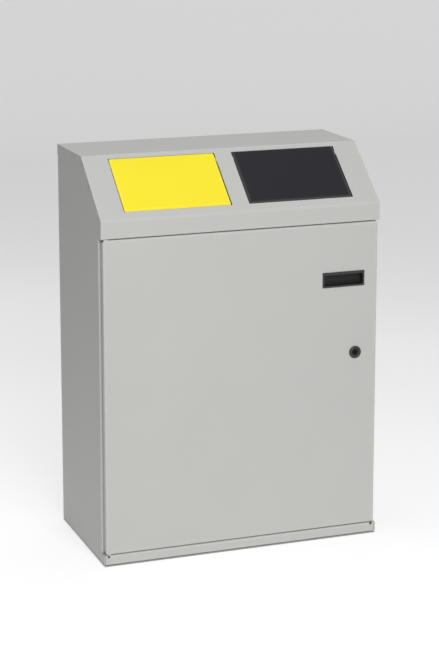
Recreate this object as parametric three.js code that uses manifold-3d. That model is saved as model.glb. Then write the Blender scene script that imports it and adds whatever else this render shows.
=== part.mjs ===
// Double recycling bin: a folded sheet-steel cabinet with one front door, two sprung flaps in a sloped hood
// and two lift-out liners. Millimetres, +Z up, +Y to the back. The origin is on the floor, under the middle
// of the whole object.
import * as THREE from "three";
import { mergeVertices } from "three/addons/utils/BufferGeometryUtils.js";
import Module from "manifold-3d";

const wasm = await Module();
wasm.setup();

// Overall sizes
const bodyWidth = 660;
const bodyDepth = 338; // door face to back
const bodyHeight = 905; // floor to top, on its feet
const sheet = 1.5; // steel thickness
const airGap = 0.3; // air between touching pieces
const foldRadius = 3; // outside radius of a fold
const edgeBreak = 0.6; // small chamfer on turned and moulded pieces
const domeShare = 0.6; // straight share of a domed end's height, and flat share of its radius
const overrun = 1; // cutting shapes run past the faces that they open
const weld = 0.01; // points closer than this after a cut or a join are one

// Cabinet
const footProud = 2; // steel stands this far above the floor
const plinthTop = 24.3;
const doorSetback = 20.3; // front flange of the cabinet, behind the door's face
const doorFlangeWidth = 24; // from the outer side
const plinthFlange = 24;
const plinthJoint = 1; // open joint between the plinth and each side panel
const baseFlange = 20; // flanges under the sides and the plinth
const backFlange = 20;
const floorTop = 20;
const floorLipTop = 38;
const reliefNotch = [6, 5]; // width and height of the notches at the plinth's upper corners
const reliefInset = 10.5; // notch centre from the outer side

// Hood
const hoodHeight = 161; // top of the hood to the foot of its band
const bandHeight = 40.7;
const slopeRun = 146.6;
const hoodLip = 25; // lip down the back
const hoodFlange = 22; // flange under the band, over the door
const hoodCheek = 16; // side flanges of the hood, inside the side panels
const studSize = [12, 4]; // locating studs of the cheeks, seen in slots of the side panels
const studInset = 8.5; // stud centre from the hood's outer face
const studsOnTop = [23, 98]; // from the slope's upper fold, backwards
const studsOnSlope = [16.8, 85.2, 158.9]; // from the upper fold, down the slope
const studOnBand = 16; // below the lower fold
const headRailHeight = 21;
const headRailDepth = 22.7;
const dividerDrop = 144; // plate between the two chutes, below the hood's foot
const dividerFromBack = 38;

// Flap openings, in the plane of the slope
const openingSideMargin = 58.6;
const openingCentreGap = 40.2;
const openingTopMargin = 12.4;
const openingFootMargin = 21.9;
const flapSideGap = 1.8;
const flapEndGap = 1.5;
const flapFlange = 14; // depth of the flap's side flanges
const flapStep = 5; // face of the flap down to its stop lip
const flapLip = 10; // reach of the stop lip under the slope
const lugTop = 12.2; // opening's upper edge to the lug
const lugLength = 11.4;
const lugDepth = 16;
const lugGap = 0.6; // flap's side flange to the lug
const axleDrop = 9; // axle below the slope's outer face
const axleRadius = 2.5;
const axleHead = [4, 2]; // radius, thickness
const bushWall = 1.4;
const bushCollar = [5.5, 1]; // radius, thickness
const springInset = 7.5; // first turn from the flap's side
const springWire = 1.4;
const springTurns = 5;
const springPitch = 2.2;
const springClear = 1.1; // axle to the coil
const springLegUp = 24;
const springLegDown = 30;
const springShoulder = 0.3; // share of a leg where it leaves the coil's bend
const bufferRadius = 5;
const bufferInset = 20; // buffer's middle from the flap's side

// Door
const doorInset = 4.2; // door edge from the outer side
const doorGap = 2; // above and below the door
const doorDepth = 17;
const doorLip = 14;
const doorCorner = 2.2; // relief at each corner of the pan
const pinInset = 8; // pin from the door's edge
const pinDepth = 6.5; // pin from the door's face
const pinRadius = 2.5;
const pinReach = 9; // into the door
const pinHead = [4, 2]; // radius, thickness
const doorBushLength = 7;
const doorBufferFromEnd = 80;
const hatWidth = 28;
const hatFlange = 14;
const hatDepth = 12;
const hatEnd = 24; // hat section from the door's upper and lower edge

// Pull
const pullSize = [102.5, 35.2];
const pullFromSide = 87.8; // centre, from the outer right side
const pullFromHood = 130.4; // centre, below the hood
const pullProud = 1.8;
const pullRim = 2.3; // rim beyond the shell
const pullWall = 1.6;
const pullReach = 14; // shell behind the door's face
const pullLip = 2.7; // how far the grip lip hangs into the mouth
const pullCatch = 1; // how far the catches grip behind the door's sheet
const pullCorners = [1.5, 2]; // corner radii of the rim and of the shell

// Lock
const lockFromSide = 57;
const lockFromHood = 304;
const lockProud = 3.5;
const rosetteRadius = 14.4;
const rosetteBevel = 1.6;
const rosetteCrown = [4, 0.3]; // width and height of the slight crown inside the bevel
const lockShank = 9.5;
const lockCore = 6.5;
const lockRearGap = 0.9; // rear end of the housing to the cam
const lockNut = [13, 3.5];
const keySlot = [7.5, 1.4, 9]; // length, width, depth
const camSize = [45, 14, 2.5]; // reach, width, thickness
const camClear = 0.4; // cam behind the strike
const tenon = 6;
const camScrew = [4.5, 2, 1.8, 6]; // head radius, head height, shank radius, depth in the barrel
const strikeSize = [20, 64, 2]; // width, height, thickness
const strikeRivet = 24; // above and below the strike's middle
const strikeRivetShift = 2; // beside the strike's middle
const strikeOverhang = 2; // strike beyond the flange's edge

// Rivets
const rivetHead = 3.5;
const rivetSink = 1.2;
const rivetShank = 2;
const rivetTail = [3, 2.5]; // radius, length
const backRivetCount = 4; // up each side
const backRivetFoot = 60; // lowest one above the floor
const backRivetDrop = 125; // highest one below the top

// Liners
const linerFront = 36; // liner's front wall from the door's face
const linerRear = 8.7; // air behind the liner
const linerWall = 1;
const linerHeadroom = 204; // rim to the foot of the hood's band
const linerClear = 1.5; // beside each liner
const linerRim = [3, 10]; // proud, height
const guideSize = [5, 40]; // width and height of the rail between the liners
const wireRadius = 2.5;
const bailAside = 3.6; // wire beyond the liner's wall
const bailBelowRim = 22;
const bailClear = 1; // grip past the liner's rim
const bailHook = 6; // wire's end inside the wall
const gripSize = [6, 110]; // radius, length

// Feet
const padRadius = 9;
const padStem = 3;
const padBarb = 1.2; // head of the stem beyond it
const padFromSide = 12;
const padFromEnd = 42;

// Derived places
const halfWidth = bodyWidth / 2;
const frontY = -(bodyDepth - lockProud) / 2;
const hoodFoot = bodyHeight - hoodHeight;
const bandTop = hoodFoot + bandHeight;
const slopeDrop = bodyHeight - bandTop;
const slopeLength = Math.hypot(slopeRun, slopeDrop);
const slopeAngle = Math.atan2(slopeDrop, slopeRun);
const innerHalf = halfWidth - sheet;
const openingWidth = (bodyWidth - 2 * openingSideMargin - openingCentreGap) / 2;
const openingCentre = (openingCentreGap + openingWidth) / 2;
const openingEnd = slopeLength - openingFootMargin;
const flapHalf = openingWidth / 2 - flapSideGap;
const flapStart = openingTopMargin + flapEndGap;
const flapEnd = openingEnd - flapEndGap;
const axleAlong = openingTopMargin + lugTop + lugLength / 2;
const lugInner = flapHalf + lugGap;
const doorHalf = halfWidth - doorInset;
const doorFoot = plinthTop + doorGap;
const doorTop = hoodFoot - doorGap;
const pinX = -doorHalf + pinInset;
const lockX = halfWidth - lockFromSide;
const lockZ = hoodFoot - lockFromHood;
const pullX = halfWidth - pullFromSide;
const pullZ = hoodFoot - pullFromHood;
const dividerFoot = hoodFoot - dividerDrop;
const dividerBack = bodyDepth - dividerFromBack;
const backInner = bodyDepth - 2 * sheet - airGap; // depth of the back panel's inner face
const strikeBack = doorSetback + sheet + airGap + strikeSize[2];
const camFront = strikeBack + camClear;
const lockRear = camFront - lockRearGap;
const linerDepth = backInner - linerRear - linerFront;
const linerFoot = floorTop + airGap;
const linerTop = hoodFoot - linerHeadroom;
const bailOut = bailAside + wireRadius;
const linerWidth =
  halfWidth - doorFlangeWidth - guideSize[0] / 2 - 2 * (bailOut + wireRadius) - 2 * linerClear;
const linerCentre = (halfWidth - doorFlangeWidth + guideSize[0] / 2) / 2;
const bailLength =
  Math.hypot(linerDepth / 2 + linerRim[0], bailBelowRim) + gripSize[0] + bailClear;
const bailDroop = Math.acos((linerDepth / 2 + gripSize[0] + airGap) / bailLength);

// Facets round a circle, or steps along a turn
const turnedSides = 16;
const lockSides = 24;
const screwSides = 16;
const rivetSides = 10;
const padSides = 12;
const cornerSides = 12;
const wireSides = 8;
const springSides = 5;
const springSteps = 8;
const camSteps = 6;
const cornerSteps = 4;
const bendSteps = 5;

// Materials
const paint = (color) => new THREE.MeshStandardMaterial({ color, roughness: 0.55, metalness: 0 });
const greyPaint = paint(0xb9bab4);
const yellowPaint = paint(0xffe93c);
const blackPaint = paint(0x32333a);
const zinc = new THREE.MeshStandardMaterial({ color: 0xb4b8bb, roughness: 0.4, metalness: 1 });
const blackPlastic = new THREE.MeshStandardMaterial({ color: 0x2b2b2b, roughness: 0.5 });
const naturalNylon = new THREE.MeshStandardMaterial({ color: 0xe4e0d4, roughness: 0.5 });
const rubber = new THREE.MeshStandardMaterial({ color: 0x1d1d1d, roughness: 0.9 });

const bin = new THREE.Group();

function addPart(name, shape, material) {
  const geometry = shape.isBufferGeometry ? shape : geometryOf(shape);
  const mesh = new THREE.Mesh(geometry, material);
  mesh.name = name;
  bin.add(mesh);
}

// Closed solid of a geometry, for joining and cutting.
function solidOf(geometry) {
  const bare = geometry.index ? geometry.toNonIndexed() : geometry.clone();
  bare.deleteAttribute("normal");
  bare.deleteAttribute("uv");
  const merged = mergeVertices(bare, 1e-4);
  const vertProperties = merged.attributes.position.array;
  const triVerts = new Uint32Array(merged.index.array);
  return new wasm.Manifold(new wasm.Mesh({ numProp: 3, vertProperties, triVerts }));
}

function geometryOf(solid) {
  const made = solid.asOriginal().simplify(weld).getMesh();
  const geometry = new THREE.BufferGeometry();
  geometry.setAttribute("position", new THREE.BufferAttribute(made.vertProperties, 3));
  geometry.setIndex(new THREE.BufferAttribute(made.triVerts, 1));
  const faceted = geometry.toNonIndexed();
  faceted.computeVertexNormals();
  return faceted;
}

const asSolid = (shape) => (shape.isBufferGeometry ? solidOf(shape) : shape);

function join(...shapes) {
  return shapes.map(asSolid).reduce((sum, next) => sum.add(next));
}

function cut(base, ...tools) {
  return tools.map(asSolid).reduce((rest, tool) => rest.subtract(tool), asSolid(base));
}

// Box between two corners, its faces exactly at the given places.
function block(x0, x1, y0, y1, z0, z1) {
  const fit = new THREE.Matrix4().makeScale(x1 - x0, y1 - y0, z1 - z0);
  fit.setPosition((x0 + x1) / 2, (y0 + y1) / 2, (z0 + z1) / 2);
  return new THREE.BoxGeometry().applyMatrix4(fit);
}

// Box with its depths counted from the door's face.
function box(x0, x1, depth0, depth1, z0, z1) {
  return block(x0, x1, frontY + depth0, frontY + depth1, z0, z1);
}

// Box for the slope, still lying flat: x, distance down from the upper fold, height over the outer face.
function slopeBox(x0, x1, down0, down1, out0, out1) {
  return block(x0, x1, -down1, -down0, out0, out1);
}

// Turns a flat-lying shape into the slope's plane.
function ontoSlope(shape) {
  const geometry = shape.isBufferGeometry ? shape : geometryOf(shape);
  return geometry.rotateX(slopeAngle).translate(0, frontY + slopeRun, bodyHeight);
}

function prism(points, placement) {
  const shape = new THREE.Shape(points.map(([a, b]) => new THREE.Vector2(a, b)));
  const geometry = new THREE.ExtrudeGeometry(shape, { depth: 1, bevelEnabled: false });
  return geometry.applyMatrix4(new THREE.Matrix4().set(...placement, 0, 0, 0, 1));
}

// Outline of [depth, height] points drawn out along X.
function extrudeAlongX(points, x0, x1) {
  return prism(points, [0, 0, x1 - x0, x0, 1, 0, 0, frontY, 0, 1, 0, 0]);
}

// Outline of [x, depth] points drawn out along Z.
function extrudeAlongZ(points, z0, z1) {
  return prism(points, [1, 0, 0, 0, 0, 1, 0, frontY, 0, 0, z1 - z0, z0]);
}

// Outline of [x, height] points drawn out from one depth to another.
function extrudeAlongY(points, depth0, depth1) {
  return prism(points, [1, 0, 0, 0, 0, 0, depth0 - depth1, frontY + depth1, 0, 1, 0, 0]);
}

// Round bar along X, Y (depth) or Z between two places on its axis.
function barAlongX(radius, x0, x1, depth, z, sides = turnedSides) {
  const geometry = new THREE.CylinderGeometry(radius, radius, 1, sides).rotateZ(Math.PI / 2);
  return geometry.scale(x1 - x0, 1, 1).translate((x0 + x1) / 2, frontY + depth, z);
}

function barAlongY(radius, depth0, depth1, x, z, sides = turnedSides) {
  const geometry = new THREE.CylinderGeometry(radius, radius, 1, sides);
  return geometry.scale(1, depth1 - depth0, 1).translate(x, frontY + (depth0 + depth1) / 2, z);
}

function barAlongZ(radius, z0, z1, x, depth, sides = turnedSides) {
  const geometry = new THREE.CylinderGeometry(radius, radius, 1, sides).rotateX(Math.PI / 2);
  return geometry.scale(1, 1, z1 - z0).translate(x, frontY + depth, (z0 + z1) / 2);
}

// Solid of revolution from [radius, height] points, standing on Z at the origin.
function turned(profile, sides = turnedSides) {
  const points = profile.map(([radius, height]) => new THREE.Vector2(radius, height));
  return new THREE.LatheGeometry(points, sides).rotateX(Math.PI / 2);
}

// A path moved to its left by `offset`, each corner rounded by the radius that `radiusAt` gives.
function roundedOffset(path, offset, radiusAt) {
  const points = path.map(([a, b]) => new THREE.Vector2(a, b));
  const ways = points.slice(1).map((point, i) => point.clone().sub(points[i]).normalize());
  const left = (way) => new THREE.Vector2(-way.y, way.x).multiplyScalar(offset);
  const moved = [points[0].clone().add(left(ways[0]))];
  for (let i = 1; i < points.length - 1; i++) {
    const turn = Math.atan2(ways[i - 1].cross(ways[i]), ways[i - 1].dot(ways[i]));
    const mitre = left(ways[i - 1]).add(left(ways[i])).divideScalar(1 + Math.cos(turn));
    const corner = points[i].clone().add(mitre);
    const radius = radiusAt(turn);
    const back = radius * Math.tan(Math.abs(turn) / 2);
    const steps = radius > 0 ? Math.max(2, Math.round(Math.abs(turn) / (Math.PI / 8))) : 0;
    const side = Math.sign(turn);
    const start = corner.clone().addScaledVector(ways[i - 1], -back);
    const inward = new THREE.Vector2(-ways[i - 1].y, ways[i - 1].x).multiplyScalar(side * radius);
    const centre = start.clone().add(inward);
    for (let k = 0; k <= steps; k++) {
      const angle = steps ? (turn * k) / steps : 0;
      moved.push(start.clone().rotateAround(centre, angle));
    }
  }
  moved.push(points.at(-1).clone().add(left(ways.at(-1))));
  return moved.map((point) => [point.x, point.y]);
}

// Section of folded sheet: the path is one face, the steel lies to its left.
function foldedSection(path, thickness = sheet, outer = foldRadius) {
  const inner = Math.max(outer - thickness, 0);
  const face = roundedOffset(path, 0, (turn) => (turn > 0 ? outer : inner));
  const rear = roundedOffset(path, thickness, (turn) => (turn > 0 ? inner : outer));
  return [...face, ...rear.reverse()];
}

// Rounded rectangle about the origin.
function roundedRectangle(width, height, radius, steps = cornerSteps) {
  const corners = [[1, -1], [1, 1], [-1, 1], [-1, -1]];
  return corners.flatMap(([sx, sy], quarter) =>
    Array.from({ length: steps + 1 }, (_, k) => {
      const angle = ((quarter - 1 + k / steps) * Math.PI) / 2;
      const cx = sx * (width / 2 - radius);
      const cy = sy * (height / 2 - radius);
      return [cx + radius * Math.cos(angle), cy + radius * Math.sin(angle)];
    }),
  );
}

// Curve through given points, one extrusion step to a point.
class PointPath extends THREE.Curve {
  constructor(points) {
    super();
    this.points = points;
  }
  getPoint(share) {
    const place = share * (this.points.length - 1);
    const i = Math.min(Math.floor(place), this.points.length - 2);
    return this.points[i].clone().lerp(this.points[i + 1], place - i);
  }
  getPointAt(share) {
    return this.getPoint(share);
  }
  getTangentAt(share) {
    const last = this.points.length - 1;
    const i = Math.round(share * last);
    const way = new THREE.Vector3();
    if (i > 0) way.add(this.points[i].clone().sub(this.points[i - 1]).normalize());
    if (i < last) way.add(this.points[i + 1].clone().sub(this.points[i]).normalize());
    return way.normalize();
  }
}

function wireAlong(points, radius, sides) {
  const corners = Array.from({ length: sides }, (_, k) => {
    const angle = (2 * Math.PI * k) / sides;
    return new THREE.Vector2(radius * Math.cos(angle), radius * Math.sin(angle));
  });
  const extrudePath = new PointPath(points);
  return new THREE.ExtrudeGeometry(new THREE.Shape(corners), { steps: points.length - 1, extrudePath });
}

// Corner points with a bend at each inner one.
function bentPath(corners, radius, steps = bendSteps) {
  const points = [corners[0]];
  for (let i = 1; i < corners.length - 1; i++) {
    const before = corners[i - 1].clone().sub(corners[i]).setLength(radius).add(corners[i]);
    const after = corners[i + 1].clone().sub(corners[i]).setLength(radius).add(corners[i]);
    points.push(...new THREE.QuadraticBezierCurve3(before, corners[i], after).getPoints(steps));
  }
  points.push(corners.at(-1));
  return points;
}

// Countersunk rivet hole and rivet, standing on Z with the head's flat face at the origin.
function rivetHole() {
  const head = rivetHead + airGap;
  const shank = rivetShank + airGap;
  const sink = rivetSink + airGap;
  const end = sheet + 2 * overrun;
  return turned([[0, 0], [head, 0], [shank, sink], [shank, end], [0, end]], rivetSides);
}

function rivetBody(grip) {
  const tailFoot = grip + airGap;
  const [tailRadius, tailLength] = rivetTail;
  const profile = [
    [0, 0],
    [rivetHead, 0],
    [rivetShank, rivetSink],
    [rivetShank, tailFoot],
    [tailRadius, tailFoot],
    [tailRadius, tailFoot + tailLength * domeShare],
    [tailRadius * domeShare, tailFoot + tailLength],
    [0, tailFoot + tailLength],
  ];
  return turned(profile, rivetSides);
}

// Turns a standing piece to lie along Y, pointing to the back (inward = 1) or to the front (-1).
function alongDepth(geometry, inward, x, depth, z) {
  return geometry.rotateX((-inward * Math.PI) / 2).translate(x, frontY + depth, z);
}

const backRivetPitch = (bodyHeight - backRivetFoot - backRivetDrop) / (backRivetCount - 1);
const backRivetHeights = Array.from(
  { length: backRivetCount },
  (_, i) => backRivetFoot + i * backRivetPitch,
);
const backRivetX = halfWidth - backFlange / 2;
const strikeX = halfWidth - doorFlangeWidth - strikeOverhang + strikeSize[0] / 2;
const strikeRivetX = strikeX + strikeRivetShift;
const padX = halfWidth - padFromSide;
const padDepths = [padFromEnd, bodyDepth - padFromEnd];

// Places of the locating studs: depth, height and the angle of the edge that each lies along.
function studPlaces() {
  const onTop = studsOnTop.map((back) => [slopeRun + back, bodyHeight - studInset, 0]);
  const onSlope = studsOnSlope.map((down) => [
    slopeRun - down * Math.cos(slopeAngle) + studInset * Math.sin(slopeAngle),
    bodyHeight - down * Math.sin(slopeAngle) - studInset * Math.cos(slopeAngle),
    slopeAngle,
  ]);
  return [...onTop, ...onSlope, [studInset, bandTop - studOnBand, Math.PI / 2]];
}

function studBlock([depth, z, angle], extra, x0, x1) {
  const [length, height] = studSize;
  const outline = roundedRectangle(length + 2 * extra, height + 2 * extra, height / 2 + extra);
  const [c, s] = [Math.cos(angle), Math.sin(angle)];
  return prism(outline, [0, 0, x1 - x0, x0, c, -s, 0, frontY + depth, s, c, 0, z]);
}

// Side panel: one flat sheet from floor to hood, with flanges turned in at the door, the back and the base.
function sidePanel(side) {
  const outline = [
    [0, footProud],
    [bodyDepth, footProud],
    [bodyDepth, bodyHeight],
    [slopeRun, bodyHeight],
    [0, bandTop],
    [0, hoodFoot],
    [doorSetback, hoodFoot],
    [doorSetback, plinthTop],
    [0, plinthTop],
  ];
  const span = (near, far) => (side > 0 ? [near, far] : [-far, -near]);
  const plate = extrudeAlongX(outline, ...span(innerHalf, halfWidth));
  const flange = (width, ...rest) => box(...span(halfWidth - width, halfWidth), ...rest);
  const doorFlange = flange(
    doorFlangeWidth, doorSetback, doorSetback + sheet, plinthTop + airGap, hoodFoot - airGap,
  );
  const rearFlange = flange(
    backFlange, bodyDepth - sheet, bodyDepth, footProud, bodyHeight - hoodLip - airGap,
  );
  const footFlange = flange(
    baseFlange, baseFlange + plinthJoint, bodyDepth, footProud, footProud + sheet,
  );
  const slotSpan = span(innerHalf - overrun, halfWidth + overrun);
  const slots = studPlaces().map((place) => studBlock(place, airGap, ...slotSpan));
  const rearHoles = backRivetHeights.map((z) =>
    alongDepth(rivetHole(), -1, side * backRivetX, bodyDepth, z),
  );
  const padHoles = padDepths.map((depth) =>
    barAlongZ(padStem + airGap, 0, footProud + sheet + overrun, side * padX, depth, padSides),
  );
  const strikeHoles = side > 0 ? [strikeRivet, -strikeRivet].map((up) => strikeHole(up)) : [];
  const folded = join(plate, doorFlange, rearFlange, footFlange);
  return cut(folded, ...slots, ...rearHoles, ...padHoles, ...strikeHoles);
}

function strikeHole(up) {
  return alongDepth(rivetHole(), 1, strikeRivetX, doorSetback, lockZ + up);
}

function backPanel() {
  const half = innerHalf - airGap;
  const top = bodyHeight - foldRadius - airGap;
  const foot = footProud + 2 * sheet;
  const plate = box(-half, half, backInner, backInner + sheet, foot, top);
  const holes = [-1, 1].flatMap((side) =>
    backRivetHeights.map((z) =>
      barAlongY(rivetShank + airGap, backInner - overrun, bodyDepth, side * backRivetX, z, rivetSides),
    ),
  );
  return cut(plate, ...holes);
}

function backRivet(side, z) {
  return alongDepth(rivetBody(bodyDepth - backInner), -1, side * backRivetX, bodyDepth, z);
}

// Floor pan: liners stand on it behind a low lip; its side flanges bear on the side panels' foot flanges.
function floorPan() {
  const half = innerHalf - airGap;
  const front = plinthFlange + 2 * airGap;
  const rear = backInner - airGap;
  const underside = footProud + sheet + airGap;
  const top = box(-half, half, front, rear, floorTop - sheet, floorTop);
  const lip = box(-half, half, front, front + sheet, underside, floorLipTop);
  const cheeks = [-1, 1].map((side) => {
    const x = side * (half - sheet / 2);
    return box(x - sheet / 2, x + sheet / 2, front, rear, underside, floorTop);
  });
  const rearFlange = box(-half, half, rear - sheet, rear, underside, floorTop);
  return join(top, lip, ...cheeks, rearFlange);
}

// Plinth: channel between the side panels, with the lower hinge pin's hole in its upper flange.
function plinth() {
  const half = innerHalf - plinthJoint;
  const section = foldedSection([
    [plinthFlange, plinthTop],
    [0, plinthTop],
    [0, footProud],
    [baseFlange, footProud],
  ]);
  const [notchWidth, notchHeight] = reliefNotch;
  const notches = [-1, 1].map((side) => {
    const x = side * (halfWidth - reliefInset);
    const low = plinthTop - notchHeight;
    const [x0, x1] = [x - notchWidth / 2, x + notchWidth / 2];
    return box(x0, x1, -overrun, 2 * foldRadius, low, plinthTop + overrun);
  });
  const pinHole = pinHoleAt(plinthTop - sheet);
  return cut(extrudeAlongX(section, -half, half), ...notches, pinHole);
}

// Hole for a hinge pin through the sheet whose underside is at z.
function pinHoleAt(z) {
  return barAlongZ(pinRadius + airGap, z - overrun, z + sheet + overrun, pinX, pinDepth);
}

// Hood: one sheet folded over the back, top, slope and band, with cheeks inside the side panels.
function hood() {
  const half = innerHalf - airGap;
  const section = foldedSection([
    [bodyDepth, bodyHeight - hoodLip],
    [bodyDepth, bodyHeight],
    [slopeRun, bodyHeight],
    [0, bandTop],
    [0, hoodFoot],
    [hoodFlange, hoodFoot],
  ]);
  const cheekSection = foldedSection(
    [
      [backInner - sheet, bodyHeight],
      [slopeRun, bodyHeight],
      [0, bandTop],
      [0, hoodFoot],
    ],
    hoodCheek,
  );
  const cheeks = [-1, 1].map((side) => {
    const [x0, x1] = side > 0 ? [half - sheet, half] : [-half, sheet - half];
    return extrudeAlongX(cheekSection, x0, x1);
  });
  const studs = studPlaces().flatMap((place) => [
    studBlock(place, 0, half - sheet / 2, halfWidth - airGap / 3),
    studBlock(place, 0, airGap / 3 - halfWidth, sheet / 2 - half),
  ]);
  const openings = [-1, 1].map((flap) => {
    const span = flapSpan(flap, openingWidth / 2);
    return ontoSlope(slopeBox(...span, openingTopMargin, openingEnd, -flapFlange, flapFlange));
  });
  const lugs = [-1, 1].flatMap((flap) => [hoodLug(flap, -1), hoodLug(flap, 1)]);
  const axleHoles = [-1, 1].map((flap) => {
    const span = flapSpan(flap, lugInner + sheet + overrun);
    return ontoSlope(axleBar(axleRadius + airGap, ...span));
  });
  const shell = join(extrudeAlongX(section, -half, half), ...cheeks, ...studs);
  return cut(join(cut(shell, ...openings), ...lugs), ...axleHoles, pinHoleAt(hoodFoot));
}

// Lug bent down beside an opening to carry the flap's axle.
function hoodLug(flap, side) {
  const x = flap * openingCentre + side * (lugInner + sheet / 2);
  const start = openingTopMargin + lugTop;
  const lug = slopeBox(x - sheet / 2, x + sheet / 2, start, start + lugLength, -lugDepth, -airGap);
  return ontoSlope(lug);
}

// Moves a shape from the X axis to the axle's line, still lying flat.
const onAxle = (geometry) => geometry.translate(0, -axleAlong, -axleDrop);

const axleBar = (radius, x0, x1) => onAxle(barAlongX(radius, x0, x1, -frontY, 0));

// Ends of a stretch that reaches equally far to both sides of a flap's middle.
const flapSpan = (flap, reach) => [flap * openingCentre - reach, flap * openingCentre + reach];

function headRail() {
  const half = innerHalf - airGap;
  const front = hoodFlange + airGap;
  const section = foldedSection([
    [front, hoodFoot + headRailHeight],
    [front, hoodFoot],
    [front + headRailDepth, hoodFoot],
  ]);
  return extrudeAlongX(section, -half, half);
}

// Plate between the two chutes, hung from the top of the hood by a flange.
function hoodDivider() {
  const front = hoodFlange + 2 * airGap + sheet;
  const clear = 2 * sheet;
  const top = bodyHeight - sheet - airGap;
  const underSlope = (depth) => bandTop + depth * Math.tan(slopeAngle) - clear / Math.cos(slopeAngle);
  const slopeEnd = (top - underSlope(0)) / Math.tan(slopeAngle);
  const outline = [
    [headRailDepth + front, dividerFoot],
    [dividerBack, dividerFoot],
    [dividerBack, top],
    [slopeEnd, top],
    [front, underSlope(front)],
    [front, hoodFoot + foldRadius + airGap],
    [headRailDepth + front, hoodFoot + foldRadius + airGap],
  ];
  const plate = extrudeAlongX(outline, -sheet / 2, sheet / 2);
  const flange = box(-sheet / 2, hoodCheek, slopeRun + hoodCheek, dividerBack, top - sheet, top);
  return join(plate, flange);
}

function linerGuide() {
  const [width, height] = guideSize;
  const section = foldedSection(
    [
      [-width / 2, linerFoot],
      [-width / 2, floorTop + height],
      [width / 2, floorTop + height],
      [width / 2, linerFoot],
    ].reverse(),
    sheet,
    sheet,
  );
  return extrudeAlongY(section, linerFront, linerFront + linerDepth);
}

// Rubber foot with a barbed stem through the side panel's foot flange.
function foot(side, depth) {
  const seat = footProud - airGap;
  const barbFoot = footProud + sheet + airGap;
  const profile = [
    [0, 0],
    [padRadius - edgeBreak, 0],
    [padRadius, edgeBreak],
    [padRadius, seat],
    [padStem, seat],
    [padStem, barbFoot],
    [padStem + padBarb, barbFoot],
    [padStem * domeShare, barbFoot + padBarb],
    [0, barbFoot + padBarb],
  ];
  return turned(profile, padSides).translate(side * padX, frontY + depth, 0);
}

// Hinge pin with its head away from the door: up = 1 hangs from the hood, up = -1 stands in the plinth.
function hingePin(up) {
  const seat = up > 0 ? hoodFoot : plinthTop;
  const [headRadius, headHeight] = pinHead;
  const tip = -(doorGap + pinReach);
  const under = sheet + airGap;
  const profile = [
    [0, tip],
    [pinRadius - edgeBreak, tip],
    [pinRadius, tip + edgeBreak],
    [pinRadius, under],
    [headRadius, under],
    [headRadius, under + headHeight],
    [0, under + headHeight],
  ];
  const pin = turned(profile);
  if (up < 0) pin.rotateX(Math.PI);
  return pin.translate(pinX, frontY + pinDepth, seat);
}

// Bush of the door: its collar fills the gap between the door and the cabinet.
function doorBush(up) {
  const edge = up > 0 ? doorTop : doorFoot;
  const bore = pinRadius + airGap;
  const body = bore + bushWall - airGap;
  const collar = bushCollar[0];
  const profile = [
    [bore, -doorBushLength],
    [body, -doorBushLength],
    [body, airGap],
    [collar, airGap],
    [collar, doorGap - airGap],
    [bore, doorGap - airGap],
    [bore, -doorBushLength],
  ];
  const bush = turned(profile);
  if (up < 0) bush.rotateX(Math.PI);
  return bush.translate(pinX, frontY + pinDepth, edge);
}

// Door: a shallow pan with returns and inner lips, open at its corners.
function doorSkin() {
  const plan = foldedSection([
    [doorHalf - doorLip, doorDepth],
    [doorHalf, doorDepth],
    [doorHalf, 0],
    [-doorHalf, 0],
    [-doorHalf, doorDepth],
    [doorLip - doorHalf, doorDepth],
  ].reverse());
  const pan = extrudeAlongZ(plan, doorFoot, doorTop);
  const inside = doorHalf - sheet / 2;
  const caps = [
    [doorFoot, doorFoot + sheet, doorFoot, doorFoot + doorLip],
    [doorTop - sheet, doorTop, doorTop - doorLip, doorTop],
  ].flatMap(([cap0, cap1, lip0, lip1]) => [
    box(-inside, inside, sheet / 2, doorDepth, cap0, cap1),
    box(-inside, inside, doorDepth - sheet, doorDepth, lip0, lip1),
  ]);
  const reach = [-overrun, doorDepth + overrun];
  const corners = [-1, 1].flatMap((side) =>
    [doorFoot, doorTop].map((z) => barAlongY(doorCorner, ...reach, side * doorHalf, z, cornerSides)),
  );
  const bushHole = pinRadius + bushWall + airGap;
  const bushHoles = [doorFoot, doorTop].map((z) =>
    barAlongZ(bushHole, z - sheet - overrun, z + sheet + overrun, pinX, pinDepth),
  );
  const mouth = pullOutline(pullShell(airGap), pullCorners[1]);
  const pullHole = extrudeAlongY(mouth, -overrun, sheet + overrun);
  const lockHole = barAlongY(lockShank + airGap, -overrun, sheet + overrun, lockX, lockZ, lockSides);
  return cut(join(pan, ...caps), ...corners, ...bushHoles, pullHole, lockHole);
}

function doorStiffener() {
  const near = sheet + airGap;
  const far = near + hatDepth;
  const section = foldedSection([
    [-hatWidth / 2 - hatFlange, near],
    [-hatWidth / 2, near],
    [-hatWidth / 2, far],
    [hatWidth / 2, far],
    [hatWidth / 2, near],
    [hatWidth / 2 + hatFlange, near],
  ]);
  return extrudeAlongZ(section, doorFoot + hatEnd, doorTop - hatEnd);
}

// Width and height of the pull's shell, or of the hole that it passes with `air` all round.
const pullShell = (air) => pullSize.map((size) => size - 2 * pullRim + 2 * air);

function pullOutline([width, height], radius) {
  return roundedRectangle(width, height, radius).map(([x, z]) => [pullX + x, pullZ + z]);
}

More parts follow.
